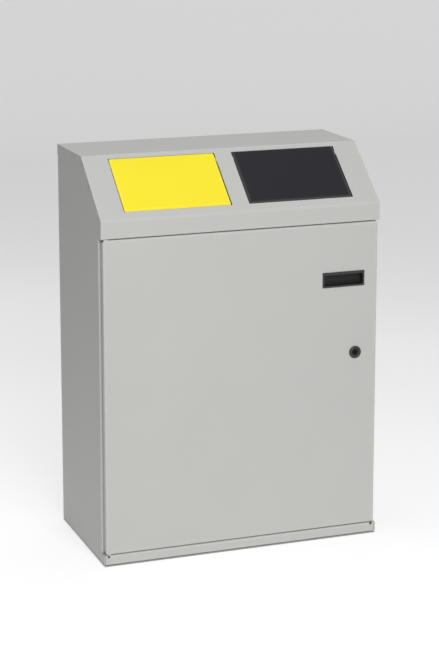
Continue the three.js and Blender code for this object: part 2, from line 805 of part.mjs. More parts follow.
// Pull: a flanged shell with a grip lip that hangs into its mouth.
function pullHandle() {
  const [shellWidth, shellHeight] = pullShell(0);
  const [rimCorner, shellCorner] = pullCorners;
  const rim = extrudeAlongY(pullOutline(pullSize, rimCorner), -pullProud, -airGap);
  const shellFace = pullOutline([shellWidth, shellHeight], shellCorner);
  const shell = extrudeAlongY(shellFace, -pullProud / 2, pullReach);
  const catches = [-1, 1].map((up) => {
    const z = pullZ + (up * shellHeight) / 2;
    const [x0, x1] = [pullX - shellWidth / 4, pullX + shellWidth / 4];
    return box(x0, x1, sheet + airGap, 2 * sheet + airGap, z - pullCatch, z + pullCatch);
  });
  const [x0, x1] = [pullX - shellWidth / 2 + pullWall, pullX + shellWidth / 2 - pullWall];
  const foot = pullZ - shellHeight / 2 + pullWall;
  const roof = pullZ + shellHeight / 2 - pullWall;
  const rear = pullReach - pullWall;
  const mouth = box(x0, x1, -pullProud - overrun, rear, foot, roof - pullLip);
  const pocket = box(x0, x1, pullWall, rear, foot, roof);
  return cut(join(rim, shell, ...catches), mouth, pocket);
}

function lockHousing() {
  const bore = lockCore + airGap;
  const [crownWidth, crownHeight] = rosetteCrown;
  const profile = [
    [bore, -lockRear],
    [lockShank, -lockRear],
    [lockShank, airGap],
    [rosetteRadius, airGap],
    [rosetteRadius, lockProud - rosetteBevel],
    [rosetteRadius - rosetteBevel, lockProud - crownHeight],
    [rosetteRadius - crownWidth, lockProud],
    [bore, lockProud],
    [bore, -lockRear],
  ];
  return alongDepth(turned(profile, lockSides), -1, lockX, 0, lockZ);
}

function lockNutRing() {
  const [radius, thickness] = lockNut;
  const near = sheet + airGap;
  const hexagon = barAlongY(radius, near, near + thickness, lockX, lockZ, 6);
  const far = near + thickness + overrun;
  return cut(hexagon, barAlongY(lockShank + airGap, near - overrun, far, lockX, lockZ, lockSides));
}

function lockBarrel() {
  const rear = camFront - airGap;
  const core = barAlongY(lockCore, airGap - lockProud, rear, lockX, lockZ, lockSides);
  const square = lockBox([tenon, tenon], rear - overrun, camFront + camSize[2]);
  const [length, width, depth] = keySlot;
  const slotMouth = lockBox([width, length], -lockProud - overrun, depth - lockProud);
  const [, , shank, inBarrel] = camScrew;
  const [hole0, hole1] = [camFront - inBarrel - overrun, camFront + camSize[2] + overrun];
  const screwHole = barAlongY(shank + airGap, hole0, hole1, lockX, lockZ, screwSides);
  return cut(join(core, square), slotMouth, screwHole);
}

// Box about the lock's axis.
function lockBox([width, height], depth0, depth1) {
  return box(lockX - width / 2, lockX + width / 2, depth0, depth1, lockZ - height / 2, lockZ + height / 2);
}

// Cam hanging straight down: the door is unlocked at rest.
function lockCam() {
  const [reach, width, thickness] = camSize;
  const radius = width / 2;
  const middle = lockZ + (radius - reach) / 2;
  const outline = roundedRectangle(width, reach + radius, radius - edgeBreak, camSteps);
  const placed = outline.map(([x, z]) => [lockX + x, middle + z]);
  const plate = extrudeAlongY(placed, camFront, camFront + thickness);
  const seat = tenon + 2 * airGap;
  return cut(plate, lockBox([seat, seat], camFront - overrun, camFront + thickness + overrun));
}

function lockCamScrew() {
  const [headRadius, headHeight, shank, inBarrel] = camScrew;
  const seat = camSize[2] + airGap;
  const profile = [
    [0, -inBarrel],
    [shank, -inBarrel],
    [shank, seat],
    [headRadius, seat],
    [headRadius, seat + headHeight * domeShare],
    [headRadius * domeShare, seat + headHeight],
    [0, seat + headHeight],
  ];
  return alongDepth(turned(profile, screwSides), 1, lockX, camFront, lockZ);
}

function strikePlate() {
  const [width, height, thickness] = strikeSize;
  const [x0, x1] = [strikeX - width / 2, strikeX + width / 2];
  const front = strikeBack - thickness;
  const plate = box(x0, x1, front, strikeBack, lockZ - height / 2, lockZ + height / 2);
  const reach = [front - overrun, strikeBack + overrun];
  const holes = [-1, 1].map((up) =>
    barAlongY(rivetShank + airGap, ...reach, strikeRivetX, lockZ + up * strikeRivet, rivetSides),
  );
  return cut(plate, ...holes);
}

function strikeRivetBody(up) {
  const body = rivetBody(strikeBack - doorSetback);
  return alongDepth(body, 1, strikeRivetX, doorSetback, lockZ + up * strikeRivet);
}

function doorBuffer(z) {
  const thickness = doorSetback - doorDepth - 2 * airGap;
  const x = halfWidth - doorInset - doorLip / 2;
  return alongDepth(bufferDisc(thickness), 1, x, doorDepth + airGap, z);
}

function bufferDisc(thickness) {
  const profile = [
    [0, 0],
    [bufferRadius - edgeBreak, 0],
    [bufferRadius, edgeBreak],
    [bufferRadius, thickness],
    [0, thickness],
  ];
  return turned(profile, padSides);
}

// Flap: a pan with side flanges on the axle and a stop lip at its lower edge, closed against two buffers.
function flapPan(flap) {
  const [x0, x1] = flapSpan(flap, flapHalf);
  const face = slopeBox(x0, x1, flapStart, flapEnd, -sheet, 0);
  const sides = [x0, x1 - sheet].map((x) =>
    slopeBox(x, x + sheet, flapStart, flapEnd, -flapFlange, -sheet / 2),
  );
  const front = slopeBox(x0, x1, flapEnd - sheet, flapEnd, -flapStep - sheet, -sheet / 2);
  const lip = slopeBox(x0, x1, flapEnd - sheet, flapEnd + flapLip, -flapStep - sheet, -flapStep);
  const bushHole = axleRadius + bushWall + airGap;
  const hole = axleBar(bushHole, x0 - overrun, x1 + overrun);
  return ontoSlope(cut(join(face, ...sides, front, lip), hole));
}

function flapAxle(flap) {
  const [radius, thickness] = axleHead;
  const reach = lugInner + sheet + airGap;
  const shaft = axleBar(axleRadius, ...flapSpan(flap, reach + thickness / 2));
  const heads = [-1, 1].map((side) => {
    const middle = flap * openingCentre + side * (reach + thickness / 2);
    return axleBar(radius, middle - thickness / 2, middle + thickness / 2);
  });
  return ontoSlope(join(shaft, ...heads));
}

// Bush in a side flange of the flap, its collar inside.
function flapBush(flap, side) {
  const bore = axleRadius + airGap;
  const body = bore + bushWall - airGap;
  const [collarRadius, collarThickness] = bushCollar;
  const inner = sheet + airGap;
  const profile = [
    [bore, 0],
    [body, 0],
    [body, inner],
    [collarRadius, inner],
    [collarRadius, inner + collarThickness],
    [bore, inner + collarThickness],
    [bore, 0],
  ];
  const bush = turned(profile).rotateY((-side * Math.PI) / 2);
  return ontoSlope(onAxle(bush.translate(flap * openingCentre + side * flapHalf, 0, 0)));
}

// Torsion spring round the axle: one leg under the hood, uphill, the other under the flap, downhill.
function flapSpring(flap) {
  const radius = axleRadius + springClear + springWire / 2;
  const start = flap * openingCentre - flapHalf + springInset;
  const touch = axleDrop - sheet - airGap - springWire / 2;
  const coil = [];
  for (let k = 0; k <= springTurns * springSteps; k++) {
    const angle = (2 * Math.PI * k) / springSteps;
    const x = start + (springPitch * k) / springSteps;
    coil.push(new THREE.Vector3(x, -radius * Math.sin(angle), radius * Math.cos(angle)));
  }
  const shoulder = (2 * radius + touch) / 3;
  const end = coil.at(-1).x;
  const points = [
    new THREE.Vector3(start, springLegUp, touch),
    new THREE.Vector3(start, springLegUp * springShoulder, shoulder),
    ...coil,
    new THREE.Vector3(end, -springLegDown * springShoulder, shoulder),
    new THREE.Vector3(end, -springLegDown, touch),
  ];
  console.log(`spring coil: least gap ${leastGap(coil).toFixed(2)} mm`);
  return ontoSlope(onAxle(wireAlong(points, springWire / 2, springSides)));
}

// Least air between one turn of a coil and the next.
function leastGap(coil) {
  let least = Infinity;
  for (let i = 0; i < coil.length; i++) {
    for (let k = i + springSteps / 2; k < coil.length; k++) {
      least = Math.min(least, coil[i].distanceTo(coil[k]));
    }
  }
  return least - springWire;
}

// Buffer glued under the lower margin of an opening, where the flap's lip meets it.
function flapBuffer(flap, side) {
  const thickness = flapStep - sheet - 2 * airGap;
  const x = flap * openingCentre + side * (flapHalf - bufferInset);
  const down = openingEnd + bufferRadius;
  return ontoSlope(bufferDisc(thickness).translate(x, -down, airGap - flapStep));
}

// Liner: open galvanised box with a folded rim and a hole in each side wall for the bail.
function liner(side) {
  const x = side * linerCentre;
  const [x0, x1] = [x - linerWidth / 2, x + linerWidth / 2];
  const [y0, y1] = [linerFront, linerFront + linerDepth];
  const [rimProud, rimHeight] = linerRim;
  const grown = (by) => [x0 - by, x1 + by, y0 - by, y1 + by];
  const outer = box(...grown(0), linerFoot, linerTop);
  const rim = box(...grown(rimProud), linerTop - rimHeight, linerTop);
  const hollow = box(...grown(-linerWall), linerFoot + linerWall, linerTop + overrun);
  const pivot = bailPivot(side);
  const hole = barAlongX(wireRadius + 2 * airGap, x0 - overrun, x1 + overrun, pivot.y - frontY, pivot.z);
  return cut(join(outer, rim), hollow, hole);
}

function bailPivot(side) {
  const y = frontY + linerFront + linerDepth / 2;
  return new THREE.Vector3(side * linerCentre, y, linerTop - bailBelowRim);
}

// Bail: wire hooked through the liner's walls, lying forwards until its grip rests on the front wall.
function bail(side) {
  const pivot = bailPivot(side);
  const out = linerWidth / 2 + bailOut;
  const inside = linerWidth / 2 - linerWall - bailHook;
  const bar = bailBar();
  const corners = [
    [-inside, 0, 0],
    [-out, 0, 0],
    [-out, bar.y, bar.z],
    [out, bar.y, bar.z],
    [out, 0, 0],
    [inside, 0, 0],
  ].map((corner) => new THREE.Vector3(...corner).add(pivot));
  return wireAlong(bentPath(corners, bailOut), wireRadius, wireSides);
}

const bailBar = () =>
  new THREE.Vector3(0, -bailLength * Math.cos(bailDroop), -bailLength * Math.sin(bailDroop));

function bailGrip(side) {
  const [radius, length] = gripSize;
  const middle = bailPivot(side).add(bailBar());
  const [x0, x1] = [middle.x - length / 2, middle.x + length / 2];
  const depth = middle.y - frontY;
  const sleeve = barAlongX(radius, x0, x1, depth, middle.z);
  const bore = barAlongX(wireRadius + airGap, x0 - overrun, x1 + overrun, depth, middle.z);
  return cut(sleeve, bore);
}

const sides = [["left", -1], ["right", 1]];

for (const [name, side] of sides) addPart(`side_panel_${name}`, sidePanel(side), greyPaint);
addPart("back_panel", backPanel(), greyPaint);
addPart("floor_pan", floorPan(), greyPaint);
addPart("plinth_front", plinth(), greyPaint);
addPart("hood_sheet", hood(), greyPaint);
addPart("door_head_rail", headRail(), greyPaint);
addPart("hood_divider", hoodDivider(), greyPaint);
addPart("liner_guide", linerGuide(), greyPaint);
addPart("hinge_pin_top", hingePin(1), zinc);
addPart("hinge_pin_bottom", hingePin(-1), zinc);
addPart("strike_plate", strikePlate(), zinc);
addPart("strike_rivet_upper", strikeRivetBody(1), zinc);
addPart("strike_rivet_lower", strikeRivetBody(-1), zinc);

for (const [name, side] of sides) {
  addPart(`foot_front_${name}`, foot(side, padDepths[0]), rubber);
  addPart(`foot_rear_${name}`, foot(side, padDepths[1]), rubber);
  backRivetHeights.forEach((z, i) => addPart(`back_rivet_${name}_${i + 1}`, backRivet(side, z), zinc));
}

addPart("door_buffer_upper", doorBuffer(doorTop - doorBufferFromEnd), rubber);
addPart("door_buffer_lower", doorBuffer(doorFoot + doorBufferFromEnd), rubber);
addPart("door_skin", doorSkin(), greyPaint);
addPart("door_stiffener", doorStiffener(), greyPaint);
addPart("door_bush_top", doorBush(1), naturalNylon);
addPart("door_bush_bottom", doorBush(-1), naturalNylon);
addPart("pull_handle", pullHandle(), blackPlastic);
addPart("lock_housing", lockHousing(), blackPlastic);
addPart("lock_nut", lockNutRing(), zinc);
addPart("lock_barrel", lockBarrel(), blackPlastic);
addPart("lock_cam", lockCam(), zinc);
addPart("lock_cam_screw", lockCamScrew(), zinc);

for (const [name, side] of sides) {
  addPart(`flap_panel_${name}`, flapPan(side), side < 0 ? yellowPaint : blackPaint);
  addPart(`flap_axle_${name}`, flapAxle(side), zinc);
  addPart(`flap_spring_${name}`, flapSpring(side), zinc);
  addPart(`flap_bush_${name}_outer`, flapBush(side, side), naturalNylon);
  addPart(`flap_bush_${name}_inner`, flapBush(side, -side), naturalNylon);
  addPart(`flap_buffer_${name}_outer`, flapBuffer(side, side), rubber);
  addPart(`flap_buffer_${name}_inner`, flapBuffer(side, -side), rubber);
  addPart(`liner_${name}`, liner(side), zinc);
  addPart(`bail_${name}`, bail(side), zinc);
  addPart(`bail_grip_${name}`, bailGrip(side), blackPlastic);
}

export default bin;
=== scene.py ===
import math
import bmesh
import bpy
from mathutils import Matrix, Vector
from mathutils.geometry import delaunay_2d_cdt


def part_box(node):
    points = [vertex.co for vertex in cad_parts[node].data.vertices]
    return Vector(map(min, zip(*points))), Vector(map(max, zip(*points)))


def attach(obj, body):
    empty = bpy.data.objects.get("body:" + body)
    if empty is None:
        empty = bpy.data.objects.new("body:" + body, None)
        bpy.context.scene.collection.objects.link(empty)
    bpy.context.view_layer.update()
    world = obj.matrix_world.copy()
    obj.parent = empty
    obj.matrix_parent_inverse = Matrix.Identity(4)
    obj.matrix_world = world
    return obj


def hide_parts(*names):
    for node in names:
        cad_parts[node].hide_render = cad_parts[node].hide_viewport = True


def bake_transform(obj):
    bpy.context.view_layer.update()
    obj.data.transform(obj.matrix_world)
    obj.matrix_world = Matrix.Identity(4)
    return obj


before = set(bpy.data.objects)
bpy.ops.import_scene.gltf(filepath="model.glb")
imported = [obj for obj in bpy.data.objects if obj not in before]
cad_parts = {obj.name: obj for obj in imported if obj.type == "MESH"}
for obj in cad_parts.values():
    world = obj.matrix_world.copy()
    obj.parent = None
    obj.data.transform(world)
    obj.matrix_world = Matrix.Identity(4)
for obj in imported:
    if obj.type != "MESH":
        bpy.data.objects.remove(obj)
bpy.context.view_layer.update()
mm = 0.001

# Places that several pieces share, read off the frame
doorLow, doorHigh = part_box("door_skin")
hoodLow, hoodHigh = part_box("hood_sheet")
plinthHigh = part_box("plinth_front")[1]
sideLow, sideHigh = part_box("side_panel_right")
halfWidth = sideHigh.x
frontY = doorLow.y
backY = sideHigh.y
footZ = sideLow.z
topZ = sideHigh.z
hoodFoot = hoodLow.z
plinthTop = plinthHigh.z
xWay = Vector((1, 0, 0))
yWay = Vector((0, 1, 0))
zWay = Vector((0, 0, 1))
hands = (("left", -1), ("right", 1))

steel = {
    "sheet": 1.5 * mm,
    "fold": 3 * mm,       # outside radius of a bend
    "tightFold": 1.8 * mm,
    "air": 0.3 * mm,
    "cutEdge": 0.3 * mm,  # rounding of a cut edge under its coat
    "slit": 1.2 * mm,     # relief beside a bend
    "bendSteps": 6,       # faces in a quarter turn
    "feather": 5 * mm,    # how far the paler tone of a bend, its thinner coat and a painted highlight, runs out onto the flat
}


def centreOf(node):
    low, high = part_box(node)
    return (low + high) / 2


# Finishes

def addNode(tree, kind, values=None, **settings):
    node = tree.nodes.new(kind)
    for key, value in settings.items():
        setattr(node, key, value)
    for label, value in (values or {}).items():
        socket = node.inputs[label]
        if isinstance(value, bpy.types.NodeSocket):
            tree.links.new(value, socket)
        else:
            socket.default_value = value
    return node


def newMaterial(name):
    material = bpy.data.materials.new(name)
    material.use_nodes = True
    tree = material.node_tree
    place = addNode(tree, "ShaderNodeTexCoord").outputs["Object"]
    return material, tree, tree.nodes["Principled BSDF"], place


def noise(tree, place, size, detail=2.0, roughness=0.5):
    values = {"Vector": place, "Scale": 1 / size, "Detail": detail, "Roughness": roughness}
    return addNode(tree, "ShaderNodeTexNoise", values).outputs["Fac"]


def spread(tree, value, low, high, fromLow=0.3, fromHigh=0.7):
    values = {"Value": value, "From Min": fromLow, "From Max": fromHigh, "To Min": low, "To Max": high}
    return addNode(tree, "ShaderNodeMapRange", values).outputs["Result"]


def reckon(tree, operation, *values):
    return addNode(tree, "ShaderNodeMath", dict(enumerate(values)), operation=operation).outputs[0]


def mixColour(tree, share, a, b):
    values = {0: share, 6: a, 7: b}  # factor and the two colour sockets
    return addNode(tree, "ShaderNodeMix", values, data_type="RGBA").outputs[2]


def shade(colour, factor):
    return tuple(min(c * factor, 1.0) for c in colour[:3]) + (1.0,)


def bump(tree, height, distance, strength=1.0, under=None):
    values = {"Height": height, "Distance": distance, "Strength": strength}
    if under:
        values["Normal"] = under
    return addNode(tree, "ShaderNodeBump", values).outputs["Normal"]


coat = {
    "cloudSize": 260 * mm,   # slow drift of the coat's tone over a panel
    "cloudTone": 0.012,
    "grainSize": 0.9 * mm,
    "speck": (0.088, 0.72),  # share and tone of the darker grains
    "peelSize": 2.4 * mm,    # orange peel
    "peelHeight": 0.02 * mm,
    "grainHeight": 0.004 * mm,
    "thinCoatAndHighlightShare": 0.2,        # paler over a bend: the coat is thinner there, and a highlight is painted in
    "thinCoatAndHighlightPale": 0.2,
}


def powderCoat(name, colour, roughness, specular=0.5):
    material, tree, shader, place = newMaterial(name)
    cloud = noise(tree, place, coat["cloudSize"], 3.0)
    grain = noise(tree, place, coat["grainSize"], 2.0, 0.6)
    peel = noise(tree, place, coat["peelSize"], 1.0)
    body = mixColour(tree, spread(tree, cloud, 0.0, 1.0), shade(colour, 1 - coat["cloudTone"]),
                     shade(colour, 1 + coat["cloudTone"]))
    share, dark = coat["speck"]
    body = mixColour(tree, spread(tree, grain, 0.0, share, 0.55, 0.85), body, shade(colour, dark))
    # Bends and their feathered edges are paler: partly the thinner coat, partly a painted highlight.
    bend = addNode(tree, "ShaderNodeAttribute", attribute_name="bend").outputs["Fac"]
    pale = [c + (1 - c) * coat["thinCoatAndHighlightPale"] for c in colour]
    body = mixColour(tree, spread(tree, bend, 0.0, coat["thinCoatAndHighlightShare"], 0.0, 1.0), body, shade(pale, 1.0))
    tree.links.new(body, shader.inputs["Base Color"])
    tree.links.new(spread(tree, peel, roughness - 0.05, roughness + 0.06), shader.inputs["Roughness"])
    skin = bump(tree, peel, coat["peelHeight"])
    skin = bump(tree, grain, coat["grainHeight"], under=skin)
    tree.links.new(skin, shader.inputs["Normal"])
    shader.inputs["Specular IOR Level"].default_value = specular
    return material


def platedMetal(name, colour, look):
    material, tree, shader, place = newMaterial(name)
    film = noise(tree, place, look["film"], 3.0)
    scuff = noise(tree, place, look["scuff"], 4.0, 0.65)
    tone = mixColour(tree, spread(tree, film, 0.0, 1.0), shade(colour, 0.9), shade(look["tint"], 1.0))
    tree.links.new(tone, shader.inputs["Base Color"])
    tree.links.new(spread(tree, scuff, *look["roughness"]), shader.inputs["Roughness"])
    tree.links.new(bump(tree, scuff, look["height"]), shader.inputs["Normal"])
    shader.inputs["Metallic"].default_value = look["metallic"]
    return material


def galvanisedSheet(name, colour):
    spangle = {"grain": 9 * mm, "fine": 1.5 * mm, "tone": 0.16, "height": 0.006 * mm}
    material, tree, shader, place = newMaterial(name)
    wander = noise(tree, place, spangle["grain"], 2.0)
    wander = addNode(tree, "ShaderNodeCombineXYZ", {0: wander, 1: wander, 2: wander}).outputs[0]
    drift = {0: wander, "Scale": spangle["grain"] * 0.5}
    drift = addNode(tree, "ShaderNodeVectorMath", drift, operation="SCALE").outputs[0]
    shifted = addNode(tree, "ShaderNodeVectorMath", {0: place, 1: drift}, operation="ADD").outputs[0]
    cells = addNode(tree, "ShaderNodeTexVoronoi", {"Vector": shifted, "Scale": 1 / spangle["grain"]})
    flake = addNode(tree, "ShaderNodeSeparateColor", {0: cells.outputs["Color"]}).outputs[0]
    fine = noise(tree, place, spangle["fine"], 3.0)
    low, high = 1 - spangle["tone"], 1 + spangle["tone"]
    tone = mixColour(tree, flake, shade(colour, low), shade(colour, high))
    tone = mixColour(tree, spread(tree, fine, 0.0, 0.12), tone, (0.75, 0.77, 0.78, 1.0))
    tree.links.new(tone, shader.inputs["Base Color"])
    tree.links.new(spread(tree, flake, 0.36, 0.52, 0.0, 1.0), shader.inputs["Roughness"])
    tree.links.new(bump(tree, fine, spangle["height"]), shader.inputs["Normal"])
    shader.inputs["Metallic"].default_value = 0.9
    return material


def moulded(name, colour, look):
    material, tree, shader, place = newMaterial(name)
    grain = noise(tree, place, look["grain"], 2.0, 0.6)
    flow = noise(tree, place, look["flow"], 2.0)
    tone = mixColour(tree, spread(tree, flow, 0.0, 1.0), shade(colour, 0.9), shade(colour, 1.12))
    if "recess" in look:  # painted shade: darker the deeper a face lies behind the front faces
        factor, shallow, deep = look["recess"]
        depth = addNode(tree, "ShaderNodeSeparateXYZ", {"Vector": place}).outputs["Y"]
        tone = mixColour(tree, spread(tree, depth, 0.0, 1.0, shallow, deep), tone, shade(colour, factor))
    tree.links.new(tone, shader.inputs["Base Color"])
    tree.links.new(spread(tree, grain, *look["roughness"]), shader.inputs["Roughness"])
    tree.links.new(bump(tree, grain, look["height"]), shader.inputs["Normal"])
    shader.inputs["Specular IOR Level"].default_value = look["specular"]
    return material


sparkGrain = {
    "grain": 0.5 * mm, "flow": 25 * mm, "roughness": (0.42, 0.6), "height": 0.012 * mm, "specular": 0.3}
# Named after the record's slots, with three more: tab ends with a painted highlight, paler plastic with
# painted shade in its recesses, and the lock's dark core.
finishes = {
    "grey_powder_coat": powderCoat("greyPowderCoat", (0.53, 0.53, 0.508), 0.5, 0.35),
    # Paler coat for the studs' ends: a painted highlight.
    "tab_ends_painted_highlight": powderCoat("tabEnds", (0.69, 0.69, 0.66), 0.5, 0.35),
    "yellow_powder_coat": powderCoat("yellowPowderCoat", (0.95, 0.795, 0.03), 0.42, 0.2),
    "black_powder_coat": powderCoat("blackPowderCoat", (0.02, 0.0195, 0.0245), 0.45, 0.18),
    "zinc_plated_steel": platedMetal("zincPlate", (0.6, 0.62, 0.64), {
        "film": 14 * mm, "scuff": 1.2 * mm, "tint": (0.68, 0.67, 0.62), "roughness": (0.26, 0.42),
        "height": 0.004 * mm, "metallic": 0.95}),
    "galvanised_steel": galvanisedSheet("galvanisedSheet", (0.5, 0.52, 0.54)),
    "black_plastic": moulded("blackPlastic", (0.024, 0.024, 0.025), sparkGrain),
    # Paler plastic with painted shade: darker the deeper a face lies behind the door's face, in the pull's
    # recess and round the lock's rosette.
    "plastic_with_painted_shade": moulded("handledPlastic", (0.04, 0.04, 0.04), {
        **sparkGrain, "recess": (0.3, frontY - 1.5 * mm, frontY - 0.3 * mm)}),
    "dark_plastic": moulded("darkPlastic", (0.007, 0.007, 0.007), {
        "grain": 0.5 * mm, "flow": 8 * mm, "roughness": (0.45, 0.6), "height": 0.01 * mm, "specular": 0.2}),
    "natural_nylon": moulded("naturalNylon", (0.74, 0.71, 0.62), {
        "grain": 0.6 * mm, "flow": 8 * mm, "roughness": (0.35, 0.5), "height": 0.006 * mm, "specular": 0.5}),
    "black_rubber": moulded("blackRubber", (0.02, 0.02, 0.021), {
        "grain": 0.8 * mm, "flow": 6 * mm, "roughness": (0.75, 0.92), "height": 0.02 * mm, "specular": 0.3}),
}
print("materials made:", len(finishes))


# Meshes

def newObject(name, data):
    obj = bpy.data.objects.new(name, data)
    bpy.context.scene.collection.objects.link(obj)
    return obj


def fromBmesh(name, bm):
    mesh = bpy.data.meshes.new(name)
    bm.to_mesh(mesh)
    bm.free()
    return newObject(name, mesh)


def meshObject(name, points, faces, edges=()):
    mesh = bpy.data.meshes.new(name)
    mesh.from_pydata([tuple(p) for p in points], list(edges), faces)
    return newObject(name, mesh)


def polyline(name, points):
    return meshObject(name, points, [], [(i, i + 1) for i in range(len(points) - 1)])


def roundEdges(obj, width, segments=2):
    bevel = obj.modifiers.new("edges", "BEVEL")
    bevel.width = width
    bevel.segments = segments
    bevel.limit_method = "ANGLE"
    bevel.angle_limit = math.radians(38)
    bevel.miter_outer = "MITER_ARC"
    return obj


def thicken(obj, thickness, offset=-1.0):
    wall = obj.modifiers.new("sheet", "SOLIDIFY")
    wall.thickness = thickness
    wall.offset = offset
    wall.use_even_offset = True
    return obj


# Turns a piece's modifiers into its plain mesh.
def applied(obj):
    graph = bpy.context.evaluated_depsgraph_get()
    mesh = bpy.data.meshes.new_from_object(obj.evaluated_get(graph))
    obj.modifiers.clear()
    obj.data = mesh
    mesh.name = obj.name
    return obj


# The same, then shaded smooth with its flat faces kept flat.
def settle(obj):
    applied(obj)
    obj.data.shade_smooth()
    obj.data.set_sharp_from_angle(angle=math.radians(42))
    flatten = obj.modifiers.new("shading", "WEIGHTED_NORMAL")
    flatten.keep_sharp = True
    return applied(obj)


def joined(name, pieces):
    bm = bmesh.new()
    for piece in pieces:
        bm.from_mesh(piece.data)
        bpy.data.objects.remove(piece)
    return fromBmesh(name, bm)


def closeUp(bm):
    bmesh.ops.remove_doubles(bm, verts=bm.verts, dist=0.5e-6)
    bmesh.ops.recalc_face_normals(bm, faces=bm.faces)


# Skin through rings of equal count: capped at both ends, or running round to the first ring again.
def lofted(name, rings, ringClosed=False):
    bm = bmesh.new()
    grid = [[bm.verts.new(point) for point in ring] for ring in rings]
    pairs = list(zip(grid, grid[1:])) + ([(grid[-1], grid[0])] if ringClosed else [])
    for lower, upper in pairs:
        for k in range(len(lower)):
            nextK = (k + 1) % len(lower)
            bm.faces.new((lower[k], lower[nextK], upper[nextK], upper[k]))
    if not ringClosed:
        bm.faces.new(grid[0])
        bm.faces.new(grid[-1])
    closeUp(bm)
    return fromBmesh(name, bm)


# Solid of revolution about Z from (radius, height) pairs. A profile that ends where it starts has a bore.
def turned(name, profile, sides=32, edge=0.2 * mm):
    bored = profile[0] == profile[-1]
    turns = [2 * math.pi * k / sides for k in range(sides)]
    rings = [
        [(radius * math.cos(turn), radius * math.sin(turn), height) for turn in turns]
        for radius, height in (profile[:-1] if bored else profile)
    ]
    return settle(roundEdges(lofted(name, rings, bored), edge))


def roundedLoop(x0, x1, z0, z1, radius, steps=6):
    corners = [(x1 - radius, z0 + radius, -90), (x1 - radius, z1 - radius, 0),
               (x0 + radius, z1 - radius, 90), (x0 + radius, z0 + radius, 180)]
    loop = []
    for cx, cz, start in corners:
        for k in range(steps + 1):
            turn = math.radians(start + 90 * k / steps)
            loop.append((cx + radius * math.cos(turn), cz + radius * math.sin(turn)))
    return loop


def circleLoop(x, z, radius, steps=32):
    turns = [2 * math.pi * k / steps for k in range(steps)]
    return [(x + radius * math.cos(turn), z + radius * math.sin(turn)) for turn in turns]


# A copy of a CAD node's mesh with its triangles merged and its edges softened.
def softCopy(name, node, edge=0.3 * mm):
    bm = bmesh.new()
    bm.from_mesh(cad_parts[node].data)
    closeUp(bm)
    bmesh.ops.dissolve_limit(bm, angle_limit=math.radians(1), verts=bm.verts, edges=bm.edges)
    return settle(roundEdges(fromBmesh(name, bm), edge))


# Puts a finished piece on its body, in its slot's finish or another, and in the place of its CAD nodes.
def mount(piece, body, nodes, slot, finish=None):
    piece.data.materials.clear()
    piece.data.materials.append(finishes[finish or slot])
    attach(piece, body)
    if nodes:
        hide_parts(*nodes)
    return piece


# Folded sheet

# One face of a folded sheet in section: straight runs and bends, with the steel to the left of the way.
# The anchor is a corner and where it lies on the developed sheet.
class FoldPath:
    def __init__(self, corners, anchor=(0, 0.0), outer=None):
        outer = outer or steel["fold"]
        inner = max(outer - steel["sheet"], steel["air"])
        points = [Vector(corner) for corner in corners]
        ways = [(b - a).normalized() for a, b in zip(points, points[1:])]
        self.runs = []
        self.starts = []
        length = trimmed = 0.0
        for i, way in enumerate(ways):
            turn = -way.angle_signed(ways[i + 1]) if i + 1 < len(ways) else 0.0
            radius = outer if turn > 0 else inner
            setback = radius * math.tan(abs(turn) / 2)
            straight = (points[i + 1] - points[i]).length - trimmed - setback
            self.starts.append(length - trimmed)
            self.runs.append((length, straight, points[i] + way * trimmed, way, 0.0, 0.0))
            length += straight
            if turn:
                arc = radius * abs(turn)
                self.runs.append((length, arc, points[i + 1] - way * setback, way, turn, radius))
                length += arc
            trimmed = setback
        self.shift = anchor[1] - self.starts[anchor[0]]
        self.first = self.shift
        self.last = self.shift + length

    # Place on the developed sheet, so far along the run that leaves corner i.
    def at(self, i, distance):
        return self.shift + self.starts[i] + distance

    # Point of the section and the way into the steel, for a place on the developed sheet.
    def place(self, s):
        s -= self.shift
        start, size, origin, way, turn, radius = next(
            (run for run in self.runs if s <= run[0] + run[1]), self.runs[-1])
        left = Vector((-way.y, way.x))
        if not turn:
            return origin + way * (s - start), left
        spin = Matrix.Rotation(turn * (s - start) / size, 2)
        centre = origin + left * math.copysign(radius, turn)
        return centre + spin @ (origin - centre), spin @ left

    def bends(self):
        return [(self.shift + run[0], self.shift + run[0] + run[1], run[4]) for run in self.runs if run[4]]

    # Where the developed sheet is cut across, so that its bends come out round.
    def cuts(self):
        found = []
        for start, end, turn in self.bends():
            steps = max(2, round(abs(turn) / (math.pi / 2) * steel["bendSteps"]))
            found += [start + (end - start) * k / steps for k in range(steps + 1)]
            found += [start - steel["feather"], end + steel["feather"]]
        return found

    # 1 in a bend, fading out over the feather beside it.
    def bend(self, s):
        outside = [max(start - s, s - end, 0.0) for start, end, _ in self.bends()]
        return max(0.0, 1 - min(outside) / steel["feather"]) if outside else 0.0


def insideLoop(point, loop):
    inside = False
    for a, b in zip(loop, loop[1:] + loop[:1]):
        if (a[1] > point.y) != (b[1] > point.y):
            inside ^= point.x < a[0] + (b[0] - a[0]) * (point.y - a[1]) / (b[1] - a[1])
    return inside


